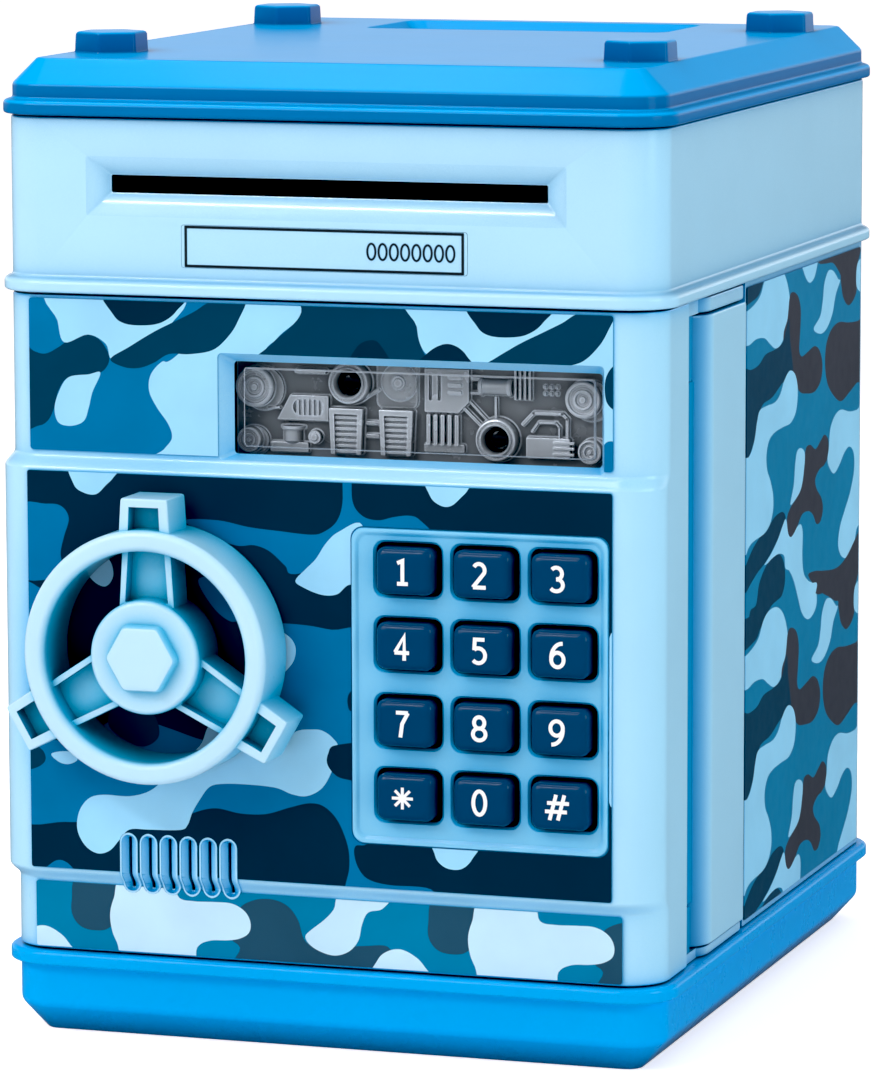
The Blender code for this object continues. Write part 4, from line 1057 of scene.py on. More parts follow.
def digit_strokes(text):
    """Centre lines of a digit on a cell one high, its middle at the origin."""
    if text == "0":
        return [arc(0, 0, 0.235, 0.44, 90, 450, 32)]
    if text == "1":
        return [[(-0.17, 0.33), (0.03, 0.42), (0.03, -0.44)], [(-0.18, -0.44), (0.24, -0.44)]]
    if text == "2":
        return [arc(0.0, 0.2, 0.22, 0.24, 150, -25) + [(-0.235, -0.44)],
                [(-0.235, -0.44), (0.26, -0.44)]]
    if text == "3":
        return [arc(-0.03, 0.21, 0.22, 0.225, 140, -90), arc(-0.03, -0.215, 0.255, 0.23, 90, -145)]
    if text == "4":
        return [[(0.09, -0.49), (0.09, 0.42), (-0.27, -0.19)], [(-0.29, -0.2), (0.28, -0.2)]]
    if text == "5":
        return [[(0.21, 0.44), (-0.165, 0.44), (-0.19, 0.04)],
                [(-0.19, 0.04)] + arc(-0.03, -0.16, 0.265, 0.28, 118, -140)]
    if text == "6":
        return [arc(0.015, -0.17, 0.24, 0.27, 90, 450, 28),
                arc(0.2, -0.12, 0.425, 0.56, 180, 88, 16)]
    if text == "7":
        return [[(-0.24, 0.44), (0.23, 0.44)], [(0.23, 0.44), (0.0, 0.02), (-0.07, -0.49)]]
    if text == "8":
        return [arc(0, 0.22, 0.2, 0.215, 90, 450, 26), arc(0, -0.21, 0.245, 0.225, 90, 450, 28)]
    return [arc(-0.015, 0.17, 0.24, 0.27, 90, 450, 28), arc(-0.2, 0.12, 0.425, 0.56, 0, -92, 16)]


def star_strokes():
    """Eight short rays."""
    return [[(-0.36 * math.cos(a), -0.36 * math.sin(a)), (0.36 * math.cos(a), 0.36 * math.sin(a))]
            for a in (math.pi * (0.5 + k / 4) for k in range(4))]


def hash_strokes():
    """Two leaning uprights and two level bars."""
    lines = []
    for shift in (-0.14, 0.14):
        lines.append([(shift - 0.11, -0.42), (shift + 0.11, 0.42)])
        lines.append([(-0.37 + shift * 0.25, shift), (0.37 + shift * 0.25, shift)])
    return lines


def ribbon(points, width):
    """The outline of a flat stroke; a closed line gives an outer and an inner outline."""
    line = [Vector(point) for point in points]
    closed = (line[0] - line[-1]).length < 1e-6
    left, right = [], []
    for index, here in enumerate(line):
        before = line[index - 1] if index else (line[-2] if closed else here)
        after = line[index + 1] if index + 1 < len(line) else (line[1] if closed else here)
        into, out = (here - before), (after - here)
        into = into.normalized() if into.length else out.normalized()
        out = out.normalized() if out.length else into
        middle = (into + out).normalized()
        normal = Vector((-middle.y, middle.x))
        reach = width / 2 / max(normal.dot(Vector((-into.y, into.x))), 0.45)
        left.append(tuple(here + normal * reach))
        right.append(tuple(here - normal * reach))
    return [left[:-1], right[:-1]] if closed else [left + right[::-1]]


def mark(name, lines, height, width, x, z, front, thickness=0.06):
    """A thin raised mark of joined strokes, centred on a place on a face."""
    bm = bmesh.new()
    outlines, groups = [], []
    for line in lines:
        placed = [(x + u * height, z + v * height) for u, v in line]
        loops = ribbon(placed, width)
        groups.append(range(len(outlines), len(outlines) + len(loops)))
        outlines += loops
    verts, faces, origins = triangulate(outlines)
    made = [bm.verts.new((u, front + 0.03, v)) for u, v in verts]
    for corners, ids in zip(faces, origins):
        if any(len(ids & set(group)) == 1 for group in groups):
            bm.faces.new([made[i] for i in corners])
    bmesh.ops.delete(bm, geom=[v for v in bm.verts if not v.link_faces], context="VERTS")
    raised = bmesh.ops.extrude_face_region(bm, geom=bm.faces[:])["geom"]
    bmesh.ops.translate(bm, vec=(0, -0.03 - thickness, 0),
                        verts=[g for g in raised if isinstance(g, bmesh.types.BMVert)])
    return add_piece(name, bm)


# ---------------------------------------------------------------- printed films

def smooth_loop(points, steps=6):
    """A closed smooth curve through the points."""
    loop = []
    count = len(points)
    for index in range(count):
        a, b, c, d = (Vector(points[(index + k) % count]) for k in (-1, 0, 1, 2))
        for step in range(steps):
            t = step / steps
            loop.append(tuple(0.5 * (2 * b + (c - a) * t + (2 * a - 5 * b + 4 * c - d) * t * t
                                     + (3 * b - a - 3 * c + d) * t * t * t)))
    return loop


def camo_film(name, sheet, holes, base, patches, axis, low, high):
    """A printed film: ink patches, later over earlier, cut to the sheet and its holes."""
    outlines = [sheet] + holes + [smooth_loop(points) for _, points in patches]
    inks = [base] + [ink for ink, _ in patches]
    verts, faces, origins = triangulate(outlines)
    palette = list(dict.fromkeys(inks))
    bm = bmesh.new()
    made = [bm.verts.new(to_place(u, v, low, axis)) for u, v in verts]
    for corners, ids in zip(faces, origins):
        if 0 not in ids or any(1 <= i <= len(holes) for i in ids):
            continue
        face = bm.faces.new([made[i] for i in corners])
        top = max(ids)
        face.material_index = palette.index(inks[top - len(holes)] if top else base)
    bmesh.ops.delete(bm, geom=[v for v in bm.verts if not v.link_faces], context="VERTS")
    raised = bmesh.ops.extrude_face_region(bm, geom=bm.faces[:])["geom"]
    move = Vector(to_place(0, 0, high - low, axis))
    bmesh.ops.translate(bm, vec=move,
                        verts=[g for g in raised if isinstance(g, bmesh.types.BMVert)])
    piece = add_piece(name, bm, 30)
    for ink in palette:
        piece.data.materials.append(INKS[ink])
    return piece


def shifted(patches, du, dv):
    """The same patches moved across and up."""
    return [(ink, [(u + du, v + dv) for u, v in points]) for ink, points in patches]


def place_film(film_piece, body, node):
    """Puts a film on its body in place of its CAD node."""
    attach(film_piece, body)
    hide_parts(node)


# Each patch is an ink and a few points of its outline; a smooth curve runs through them.

UPPER_REPEAT = [
    ("navy", [(-41.6, 128.2), (-38, 130.5), (-33, 133.5), (-29, 135.5), (-25, 137.5),
              (-21.5, 139.5), (-15, 140.5), (-16.5, 136), (-18.5, 133), (-21.5, 130.5),
              (-26, 129.6), (-30, 129.5), (-33, 127.8), (-36, 126.7), (-39, 126.8)]),
    ("night", [(-42.4, 141), (-41, 136.5), (-38.5, 134.8), (-34, 134.7), (-31, 135.5),
               (-28.5, 137.5), (-27, 141)]),
]
UPPER_PATCHES = [
    ("navy", [(-60, 130.5), (-56.8, 129.2), (-54.5, 128.8), (-52, 130), (-49, 132), (-46, 132.6),
              (-43.5, 131.5), (-41.8, 128.5), (-43, 126), (-46, 125), (-50, 124.5), (-52, 122),
              (-52.8, 119), (-54, 116.5), (-56, 115.3), (-60, 115.5)]),
    ("sky", [(-53, 140.5), (-52, 135), (-50.7, 131), (-46, 132.6), (-42.5, 131), (-41.5, 128.3),
             (-39, 129.5), (-35, 132), (-31, 134.2), (-29.6, 135), (-28, 140.5)]),
    ("sky", [(-50, 124.5), (-46, 125.2), (-43.6, 125.6), (-45.2, 122), (-46, 119), (-47, 116.5),
             (-49.5, 115.5), (-52, 116), (-52.8, 118.5), (-52, 121.5)]),
    ("sky", [(-15, 142), (-4, 142), (-4.2, 138), (-5.5, 136), (-9, 133), (-12, 128), (-12, 108),
             (-33.5, 109), (-31.2, 111.8), (-29.6, 114), (-30.3, 116.5), (-32.5, 119.5),
             (-34, 122.5), (-33.7, 125.5), (-31.5, 128), (-28.5, 129.3)]),
    ("navy", [(-3, 143), (18, 143), (18, 136), (18.8, 132.5), (19.6, 127), (4, 126), (-14, 127),
              (-10, 132), (-6, 135.5), (-4.2, 138)]),
    ("night", [(5, 128), (6.5, 132), (9, 133.3), (11, 132.5), (13, 128)]),
    ("sky", [(18, 143), (18, 136), (18.8, 132.5), (20.5, 130.7), (24, 130.3), (28.8, 129.5),
             (31, 127), (45, 127), (51, 124), (51, 108), (60, 108), (60, 143)]),
    ("night", [(17.6, 128), (20, 131.3), (23, 133), (25.5, 132.7), (27.5, 131), (28.6, 128)]),
    ("navy", [(57, 130.6), (55, 130), (53.6, 127.5), (53.7, 124), (55, 122.3), (57, 122)]),
]


def make_upper_film():
    """The film above the step, notched for the window."""
    patches = UPPER_PATCHES + UPPER_REPEAT + shifted(UPPER_REPEAT, 70.4, 0)
    patches = patches + [("mid", [(53.4, 110), (53.4, 115.8), (56, 115.8), (56, 110)])]
    low, high = mm_box("sticker_upper")
    sheet = plan(low.x, high.x, low.z, high.z, 0.5, 3)
    left, right, _, top = WINDOW_EDGE
    window = plan(left - 0.1, right + 0.1, 105.0, top + 0.1, 0.8, 3)
    film_piece = camo_film("film_upper", sheet, [window], "mid", patches, "Y", low.y, high.y)
    place_film(film_piece, "door", "sticker_upper")


MIDDLE_PATCHES = [
    ("sky", [(-49.2, 110), (-48.5, 105), (-46.5, 103.4), (-44, 103.2), (-42, 105), (-40.5, 106.5),
             (-38.5, 110)]),
    ("mid", [(-60, 100), (-54, 101), (-51, 100.7), (-49.5, 98.5), (-50.5, 95), (-51.2, 92),
             (-51, 89), (-53, 87), (-60, 87.7)]),
    ("mid", [(-26.5, 99), (-20, 99.3), (-14, 98.3), (-8, 97.8), (-2, 97.4), (0.5, 98), (3, 100),
             (4.2, 103.5), (4.3, 110), (5.9, 110), (6.1, 104), (8, 101.3), (11, 100.6),
             (14, 101.3), (17, 101.7), (19, 101), (21, 98), (12, 95), (6, 93), (-5, 90),
             (-7, 91.5), (-10, 94), (-13, 95), (-16.5, 94.8), (-22, 96.5)]),
    ("sky", [(-5, 88.8), (-3, 91), (-1, 93), (1, 96), (3.5, 98.2), (8, 99.6), (8, 90), (5, 88.3),
             (3, 86.6), (0, 86.4), (-3.5, 87.6)]),
    ("mid", [(-60, 84), (-55, 85), (-51, 82), (-50, 74), (-50.5, 66), (-49.5, 60), (-60, 58)]),
    ("sky", [(-47, 91.5), (-44.5, 92.5), (-41.5, 91), (-40.8, 88), (-42.5, 86), (-45.3, 87.5)]),
    ("mid", [(-24, 88), (-20, 88.6), (-17, 86), (-15.5, 82), (-17.5, 80.6), (-21, 83)]),
    ("mid", [(-12, 79), (-9, 80.6), (-3, 80.6), (2, 80), (10, 79.4), (11, 62), (10, 50), (4, 52),
             (-8, 52), (-12, 60)]),
    ("sky", [(-9, 80), (-7.2, 79), (-5.5, 77.5), (-5, 75.5), (-6, 73), (-9, 71)]),
    ("night", [(8, 69.6), (5.9, 69), (5, 67.5), (5.2, 65.5), (6, 65), (8, 64.6)]),
    ("mid", [(-60, 56), (-55, 56.5), (-48, 57), (-43, 60), (-38, 62), (-30, 60), (-22, 58),
             (-14, 59), (-5, 60), (2, 58), (9, 56), (10, 48), (9, 41), (6.4, 40), (6.3, 37.6),
             (7.4, 35.2), (9.2, 33.8), (13, 33.1), (21, 32.8), (22, 29), (12, 28.5), (3.6, 28.5),
             (4.4, 32.5), (5.2, 36), (4.9, 40), (3, 44.5), (0.4, 47), (-2.4, 47.5), (-6, 46.6),
             (-11, 45), (-16, 44.8), (-21, 45.5), (-25.5, 44.3), (-30, 42), (-36, 41.4),
             (-44, 41.6), (-51, 41.2), (-60, 41.5)]),
    ("sky", [(3.2, 58), (2, 60), (0, 61.2), (-2, 61.3), (-5, 60.8), (-8, 58.5), (-12, 60),
             (-18, 62), (-22, 61), (-24, 57), (-29, 53), (-31, 50.5), (-34, 48), (-38, 46.8),
             (-43, 46.8), (-46, 46), (-48, 43.5), (-48.5, 40), (-47, 37), (-44.5, 35.6),
             (-42, 36.3), (-40, 38.5), (-38, 40.5), (-34, 40.7), (-28, 41), (-26.5, 42),
             (-25.5, 44.5), (-24, 47), (-22, 49.5), (-19, 50.2), (-14, 50.3), (-9, 50), (-6, 49),
             (-3, 48.8), (0, 50.5), (2, 54)]),
    ("night", [(2.6, 58.6), (1.2, 57), (1, 55), (2.6, 53), (5, 52.3), (9, 52.3), (9, 58.8)]),
    ("navy", [(-41, 63.5), (-37, 64.5), (-33, 62.5), (-32, 58.5), (-35, 56.3), (-39, 57.5),
              (-42, 60)]),
    ("sky", [(21.2, 43), (21.7, 39.5), (22.6, 37.8), (24.5, 36.8), (27, 37), (29, 39),
             (30.6, 43)]),
    ("navy", [(-60, 57), (-57.7, 56), (-55.2, 54.5), (-54.8, 52.5), (-57, 51), (-60, 51)]),
    ("sky", [(-53.5, 54), (-52, 52.5), (-50, 52.2), (-48.3, 53.2), (-50, 54.6)]),
    ("mid", [(-55.5, 31), (-54, 33), (-52, 33.9), (-50, 33), (-49, 31)]),
    ("sky", [(54.6, 79), (57, 79), (57, 53), (54.6, 53)]),
    ("sky", [(20.1, 110), (21, 105.5), (23, 103.8), (25, 103.8), (27, 105.5), (28.3, 107),
             (29.5, 110)]),
]


def make_middle_film():
    """The film on the raised middle, cut out for the keypad, the wheel and the vents."""
    low, high = mm_box("sticker_middle")
    sheet = plan(-57.7, 55.4, STEP_LOW + STEP_RISE + 0.1, STEP_HIGH - STEP_RISE - 0.2, 0.4, 3)
    holes = [plan(5.7, 55.0, 40.5, 99.4, 2.4),
             [(WHEEL_X + 5.5 * math.cos(math.radians(12 * k)),
               WHEEL_Z + 5.5 * math.sin(math.radians(12 * k))) for k in range(30)]]
    holes += [stadium(x, 28.0, VENT_HIGH + VENT_LIP, VENT_HALF + VENT_LIP) for x in VENT_XS]
    film_piece = camo_film("film_middle", sheet, holes, "night", MIDDLE_PATCHES, "Y", low.y,
                           high.y)
    place_film(film_piece, "door", "sticker_middle")


LOWER_PATCHES = [
    ("steel", [(-49, 31), (-50.5, 26), (-50.3, 23), (-48.5, 21), (-45.5, 20.5), (-43, 21.2),
               (-41, 24), (-39, 31)]),
    ("steel", [(-17, 26.5), (-14, 28.3), (-10.5, 28.6), (-7.5, 27.5), (-5.5, 25), (-4, 21),
               (0, 20), (7.5, 21), (12.5, 20.7), (12, 14), (-16.3, 14), (-17, 19), (-18.5, 20.5),
               (-17, 23)]),
    ("pale", [(-40.2, 31), (-42, 27), (-42.8, 24), (-42.5, 21), (-41.5, 18.5), (-39, 14),
              (-27, 14), (-25.5, 18.5), (-23, 20), (-19.5, 20.3), (-17, 20.8), (-15.2, 22),
              (-14.9, 24), (-16, 26), (-18.5, 27.3), (-22, 27.4), (-26, 27.3), (-29, 27.8),
              (-30.8, 31)]),
    ("pale", [(3.2, 31), (1.5, 27.5), (-0.5, 25.3), (-3, 23.3), (-4.1, 22), (-3.2, 20.5),
              (-1, 19.3), (1.8, 18.8), (4.5, 19.8), (6.3, 22), (7, 25), (8.2, 27.3), (11, 28.2),
              (12.4, 31)]),
    ("pale", [(8.8, 14), (10, 18.5), (12, 20.3), (14.5, 20.8), (17, 19.8), (19, 18), (21, 14)]),
]


def make_lower_film():
    """The film below the step; its pattern repeats across."""
    low, high = mm_box("sticker_lower")
    patches = LOWER_PATCHES + shifted(LOWER_PATCHES, 70.35, 0) + shifted(LOWER_PATCHES, -70.35, 0)
    sheet = plan(low.x, high.x, low.z, STEP_LOW - STEP_RISE - 0.1, 0.4, 3)
    holes = [stadium(x, VENT_LOW - VENT_LIP, 42.0, VENT_HALF + VENT_LIP) for x in VENT_XS]
    film_piece = camo_film("film_lower", sheet, holes, "teal", patches, "Y", low.y, high.y)
    place_film(film_piece, "door", "sticker_lower")


SIDE_PATCHES = [
    ("navy", [(-26, 135.5), (-14, 136), (-9, 137.3), (-7, 141), (-26, 141)]),
    ("sky", [(-26, 133), (-14, 135), (-9, 136.5), (-6, 139), (-2, 140.5), (4, 140.5), (9, 138.5),
             (12, 135), (12.8, 131.5), (10.5, 128), (6, 125.5), (2, 125.2), (-2, 126.5),
             (-6, 128), (-12, 128.4), (-18, 127.8), (-26, 129)]),
    ("slate", [(12.5, 134), (15, 134.8), (19, 133.5), (21, 130.5), (20.5, 126), (20, 123),
               (22, 121.5), (27, 122), (32, 122.5), (36, 121), (38, 118), (36.5, 115), (32, 113.5),
               (26, 113.8), (20, 115), (15, 119), (9, 120), (8, 127), (11, 130)]),
    ("navy", [(12, 130), (13, 126), (15, 121), (15, 118.6), (8, 118), (0, 116), (-8, 115),
              (-12, 110), (-18, 106), (-26, 105), (-26, 123.5), (-16, 123), (-10, 123.3),
              (-5, 124.8), (2, 125), (8, 126)]),
    ("sky", [(-26, 106), (-17, 106.5), (-13, 109), (-11, 112.5), (-9, 114.5), (-4, 114.8),
             (2, 114.8), (6, 116), (9, 118.3), (13, 119.7), (17, 118.5), (19, 115.5), (18, 111.5),
             (14, 109.5), (8, 109.3), (2, 109), (-2, 108), (-4, 105.5), (-3.5, 102.5), (-1, 100),
             (1, 97), (1, 94), (-1.5, 91.5), (-6, 90.3), (-12, 90), (-17, 89), (-26, 84)]),
    ("navy", [(-24, 81.5), (-20, 85), (-15, 88), (-9, 90), (-4, 90.5), (2, 92.5), (8, 92.8),
              (10.5, 91), (6, 88.5), (0, 86), (-5, 84.5), (-10, 83.5), (-15, 82), (-20, 80.5)]),
    ("sky", [(-5, 84.3), (0, 85.8), (5, 88), (8.5, 90.2), (10.7, 91), (12.5, 88.5), (15, 87.3),
             (19, 88.3), (22, 88.5), (23.5, 86.5), (23.3, 82), (24.5, 78.5), (28, 76.5),
             (32, 75.3), (34.5, 73), (34.3, 70.5), (31, 69), (27, 69), (23, 71), (20, 74.5),
             (17, 78), (13.5, 80.5), (10.5, 81.5), (9.5, 84), (5, 85), (0, 84.5)]),
    ("navy", [(-16, 75), (-15, 77), (-11, 77.5), (-9, 81), (-5, 83.5), (0, 84.7), (6, 84.8),
              (9.5, 82.5), (10.3, 79), (8, 76.5), (4, 76), (0, 75.5), (-4, 74), (-9, 72),
              (-14, 72.5)]),
    ("slate", [(11.5, 91), (14, 92.8), (19, 94.3), (23, 96.5), (24.5, 100), (25.5, 103),
               (29, 103.3), (33, 102), (37, 103.2), (40, 104), (43, 102.5), (43, 99.5), (40, 98),
               (36, 97.5), (33, 96), (34, 94), (38, 91.5), (39, 89), (37, 87), (34, 87),
               (31.5, 89), (28, 90.3), (23, 90.3), (19, 88.3), (15, 87), (12.5, 88)]),
    ("sky", [(14, 93.5), (16.5, 97), (17.5, 101), (19, 103.3), (22, 103.5), (24.8, 102),
             (24, 98.5), (22, 95.5), (18, 94)]),
    ("sky", [(43.5, 101), (44.5, 104.5), (48, 106.8), (53, 107.5), (60, 106.3), (66, 106),
             (74, 106), (74, 84), (67, 82), (64, 78.5), (59, 76.8), (54, 77.8), (51.5, 80.5),
             (53, 84), (57, 87), (61, 90), (64, 94), (63.5, 97.5), (60, 99.2), (56, 98.5),
             (52, 96.5), (48, 95.3), (45, 96.3), (42.5, 98.5)]),
    ("slate", [(40, 118), (41, 122), (45, 124.5), (51, 125.3), (58, 124.5), (66, 124), (74, 124),
               (74, 111.5), (66, 111.5), (60, 110.3), (53, 109.2), (47, 111), (42, 114)]),
    ("slate", [(52, 133.5), (54, 130), (58, 128), (62, 128.5), (65, 130.5), (64.5, 134),
               (66, 136), (66, 140), (34, 140), (35, 138.5), (40, 138), (46, 137.5),
               (51.5, 134.8)]),
    ("sky", [(31, 126), (36, 128), (38, 131), (39, 134), (42, 136.3), (46, 136), (50, 134),
             (51.5, 133.5), (48, 131), (45.5, 127.5), (41, 125), (36, 124.5)]),
    ("sky", [(64.5, 132), (66, 136), (74, 136), (74, 129), (67, 130)]),
    ("sky", [(21, 141), (23, 138), (27, 135.5), (31, 136), (33.5, 138.5), (34, 141)]),
    ("slate", [(28, 77.5), (33, 77.7), (40, 76.8), (50, 75.9), (58, 77), (66, 80), (74, 83),
               (74, 74), (60, 71), (52, 69), (44, 71), (36, 73.5)]),
]
SIDE_REPEAT = 65.7


def make_side_films():
    """The films on both sides; their pattern repeats downwards."""
    patches = (SIDE_PATCHES + shifted(SIDE_PATCHES, 0, -SIDE_REPEAT)
               + shifted(SIDE_PATCHES, 0, -2 * SIDE_REPEAT))
    for node in ("side_sticker_left", "side_sticker_right"):
        low, high = mm_box(node)
        sheet = plan(low.y, high.y, low.z, high.z, 0.5, 3)
        name = node.replace("side_sticker", "film_side")
        place_film(camo_film(name, sheet, [], "teal", patches, "X", low.x, high.x), "bank", node)


# ---------------------------------------------------------------- window and label

RELIEF_SHIFT = -1.2
LIGHT_PLACES = ((2.0, 124.3), (30.4, 114.8))


def along_y(profile, x, y, z, steps=48):
    """A turned shape facing the front: (radius, how far it stands out) from a depth y."""
    return lathe("turned", profile, (x, y, z), (0, -1, 0), steps)


def block(x0, x1, z0, z1, back, height, edge=0.25, radius=0.3):
    """A raised rectangular block on the relief's plate."""
    return slab("block", [plan(x0, x1, z0, z1, radius, 3)], "Y", back - height, back + 0.4, edge)


def make_relief():
    """The silvered machinery behind the window, all one moulding."""
    low, high = RELIEF_LOW, RELIEF_HIGH
    face = high.y - RELIEF_GROUND
    plate = slab("relief_plate", [plan(low.x, high.x, low.z, high.z, 1.0)], "Y", face, high.y)
    for x, z in LIGHT_PLACES:
        cut(plate, along_y([(0, -3), (2.5, -3), (2.5, 6), (0, 6)], x, face, z))
    parts = []
    for x, z, radius in ((-16.3, 123.0, 3.7), (-17.4, 113.2, 2.4), (47.0, 122.8, 3.4),
                         (48.3, 113.3, 2.3)):
        parts += ringed_boss(x, z, radius, face)
    parts += sockets(face)
    for part in grille(face) + louvres(-0.8, 5.9, 111.0, 119.6, face) \
            + louvres(8.9, 15.6, 111.1, 119.6, face) + vessels(face) + panels(face) + pipes(face):
        part.data.transform(Matrix.Translation((RELIEF_SHIFT * MM, 0, 0)))
        parts.append(part)
    gather(plate, parts)
    finish(even_shading(plate), PAINT["relief"], "door", "metallised_plastic", "window_relief")


def ringed_boss(x, z, radius, face):
    """A round boss with two ridges and a centre pip, and the wider disc behind it."""
    r = radius
    profile = [(0, 2.5), (r * 0.16, 2.45), (r * 0.2, 2.1), (r * 0.36, 2.1), (r * 0.42, 2.5),
               (r * 0.52, 2.5), (r * 0.58, 2.1), (r * 0.76, 2.1), (r * 0.82, 2.5), (r * 0.94, 2.45),
               (r, 2.2), (r, -0.4), (0, -0.4)]
    behind = [(0, 0.9), (r * 1.02, 0.9), (r * 1.1, 0.75), (r * 1.1, -0.4), (0, -0.4)]
    return [along_y(profile, x, face, z), along_y(behind, x + 0.32 * r, face, z - 0.1 * r)]


def sockets(face):
    """The two round frames of the lights and the disc with a small knob."""
    frame = [(2.4, 1.6), (2.55, 2.3), (2.8, 2.7), (3.0, 2.55), (3.1, 2.2), (3.35, 2.2),
             (3.5, 2.5), (3.75, 2.4), (4.0, 1.8), (4.1, -0.4), (2.4, -0.4)]
    made = [along_y(frame, x, face, z) for x, z in LIGHT_PLACES]
    made.append(along_y([(0, 1.6), (0.7, 1.6), (0.9, 1.3), (1.25, 1.5), (1.4, 1.1), (2.9, 1.1),
                         (3.4, 0.8), (3.4, -0.4), (0, -0.4)], 11.4, face, 124.6))
    made.append(block(7.0, 14.9, 119.8, 128.6, face, 0.5, 0.2, 1.2))
    return made


def grille(face):
    """A plate with a sloping left edge and a rounded grille of upright bars, under a rail."""
    outline = [(-11.1, 117.0), (-1.0, 117.0), (-1.0, 121.7), (-8.5, 121.7)]
    made = [slab("grille", [outline], "Y", face - 1.2, face + 0.4, 0.2)]
    well = slab("well", [plan(-7.9, -1.9, 118.0, 120.9, 1.4)], "Y", face - 3, face - 0.6)
    cut(made[0], well)
    for index in range(6):
        x = -7.3 + 0.98 * index
        made.append(block(x, x + 0.5, 117.7, 121.2, face, 1.1, 0.12, 0.1))
    made.append(block(-7.6, -1.4, 125.7, 126.6, face, 1.5, 0.35, 0.3))
    return made


def louvres(x0, x1, z0, z1, face):
    """An upright frame round a ladder of thin louvres."""
    frame = slab("frame", [[(x0 + 0.4, z0), (x1 - 0.4, z0), (x1, z1), (x0, z1)]], "Y",
                 face - 1.9, face + 0.4, 0.3)
    well = slab("well", [[(x0 + 1.3, z0 - 0.6), (x1 - 1.3, z0 - 0.6), (x1 - 1.1, z1 - 1.1),
                          (x0 + 1.1, z1 - 1.1)]], "Y", face - 4, face - 0.7)
    cut(frame, well)
    made = [frame]
    count = 7
    pitch = (z1 - z0 - 1.3) / count
    for index in range(count):
        z = z0 + 0.3 + pitch * index
        made.append(block(x0 + 1.1, x1 - 1.1, z, z + pitch * 0.55, face, 1.4, 0.12, 0.1))
    return made


def vessels(face):
    """The small pot, the knob beside it and the bright tank."""
    pot = lathe("pot", [(0, 0), (1.5, 0), (1.9, 0.5), (1.9, 2.6), (2.35, 2.7), (2.35, 3.2),
                        (1.2, 3.3), (0, 3.3)], (-8.15, face + 0.2, 112.7), (0, 0, 1), 32)
    foot = block(-12.5, -5.0, 111.0, 112.9, face, 1.0)
    knob = along_y([(0, 1.7), (0.6, 1.7), (0.8, 1.4), (1.2, 1.4), (1.3, 1.1), (1.3, -0.4),
                    (0, -0.4)], -3.7, face, 114.0, 24)
    tank = lathe("tank", [(0, 0), (1.5, 0), (1.75, 0.25), (1.75, 0.7), (1.5, 0.8), (1.5, 5.6),
                          (1.75, 5.7), (1.75, 6.15), (1.5, 6.4), (0, 6.4)],
                 (28.0, face - 0.3, 124.4), (1, 0, 0), 32)
    return [pot, foot, knob, tank]


def panels(face):
    """The chamfered panel with its slots and bars, the fins, the comb and the box."""
    panel = slab("panel", [[(17.6, 119.4), (24.2, 119.4), (26.2, 121.4), (26.2, 127.5),
                            (17.6, 127.5)]], "Y", face - 1.3, face + 0.4, 0.25)
    for x in (18.5, 20.2):
        cut(panel, slab("slot", [plan(x, x + 0.6, 121.6, 126.6, 0.25)], "Y", face - 3, face - 0.7))
    made = [panel]
    for z in (122.9, 124.3, 125.7):
        made.append(block(22.3, 24.9, z, z + 0.6, face - 1.2, 0.5, 0.12, 0.2))
    for index in range(5):
        x = 18.0 + 1.36 * index
        made.append(block(x, x + 0.75, 113.4, 119.0, face, 1.3, 0.15, 0.1))
    made.append(block(17.4, 25.2, 112.0, 113.6, face, 0.8))
    for index in range(4):
        x = 34.8 + 0.92 * index
        made.append(block(x, x + 0.45, 122.2, 127.8, face, 1.2, 0.12, 0.1))
    for column in range(3):
        for row in range(2):
            x, z = 40.2 + 1.15 * column, 123.2 + 1.2 * row
            made.append(block(x, x + 0.6, z, z + 0.6, face, 0.7, 0.12, 0.1))
    made.append(block(37.1, 45.5, 111.7, 115.5, face, 1.5))
    for z in (112.3, 113.4, 114.4):
        made.append(block(42.4, 46.4, z, z + 0.55, face - 1.4, 0.4, 0.12, 0.15))
    made.append(block(6.1, 8.7, 116.6, 117.3, face, 0.8, 0.15, 0.2))
    made.append(block(6.1, 8.7, 114.2, 114.9, face, 0.8, 0.15, 0.2))
    return made


def pipes(face):
    """Raised lines between the parts, turning with short slanting corners."""
    runs = [([(36.2, 117.6), (38.4, 119.9), (43.9, 119.9), (44.8, 119.0), (44.8, 115.4)], 0.5),
            ([(38.0, 116.4), (39.3, 118.2), (42.6, 118.2), (43.3, 117.4), (43.3, 115.4)], 0.3),
            ([(24.8, 120.6), (28.6, 117.0)], 0.55), ([(26.2, 121.6), (29.6, 118.2)], 0.4),
            ([(31.2, 122.6), (31.2, 118.4)], 0.4), ([(-13.0, 119.2), (-10.6, 119.2)], 0.35),
            ([(5.6, 121.4), (8.8, 123.2)], 0.4), ([(26.4, 125.8), (28.2, 125.8)], 0.5),
            ([(26.4, 123.2), (28.2, 123.2)], 0.4)]
    made = []
    for points, width in runs:
        for a, b in zip(points, points[1:]):
            made.append(bar(a, b, width, face - 0.9, face + 0.4))
        for x, z in points[1:-1]:
            made.append(along_y([(0, 0.9), (width / 2, 0.9), (width / 2, -0.4), (0, -0.4)],
                                x, face, z, 16))
    return made


def bar(start, end, width, low, high):
    """A straight raised line between two places."""
    a, b = Vector(start), Vector(end)
    side = (b - a).normalized().orthogonal() * width / 2
    return slab("bar", [[tuple(a - side), tuple(b - side), tuple(b + side), tuple(a + side)]],
                "Y", low, high)


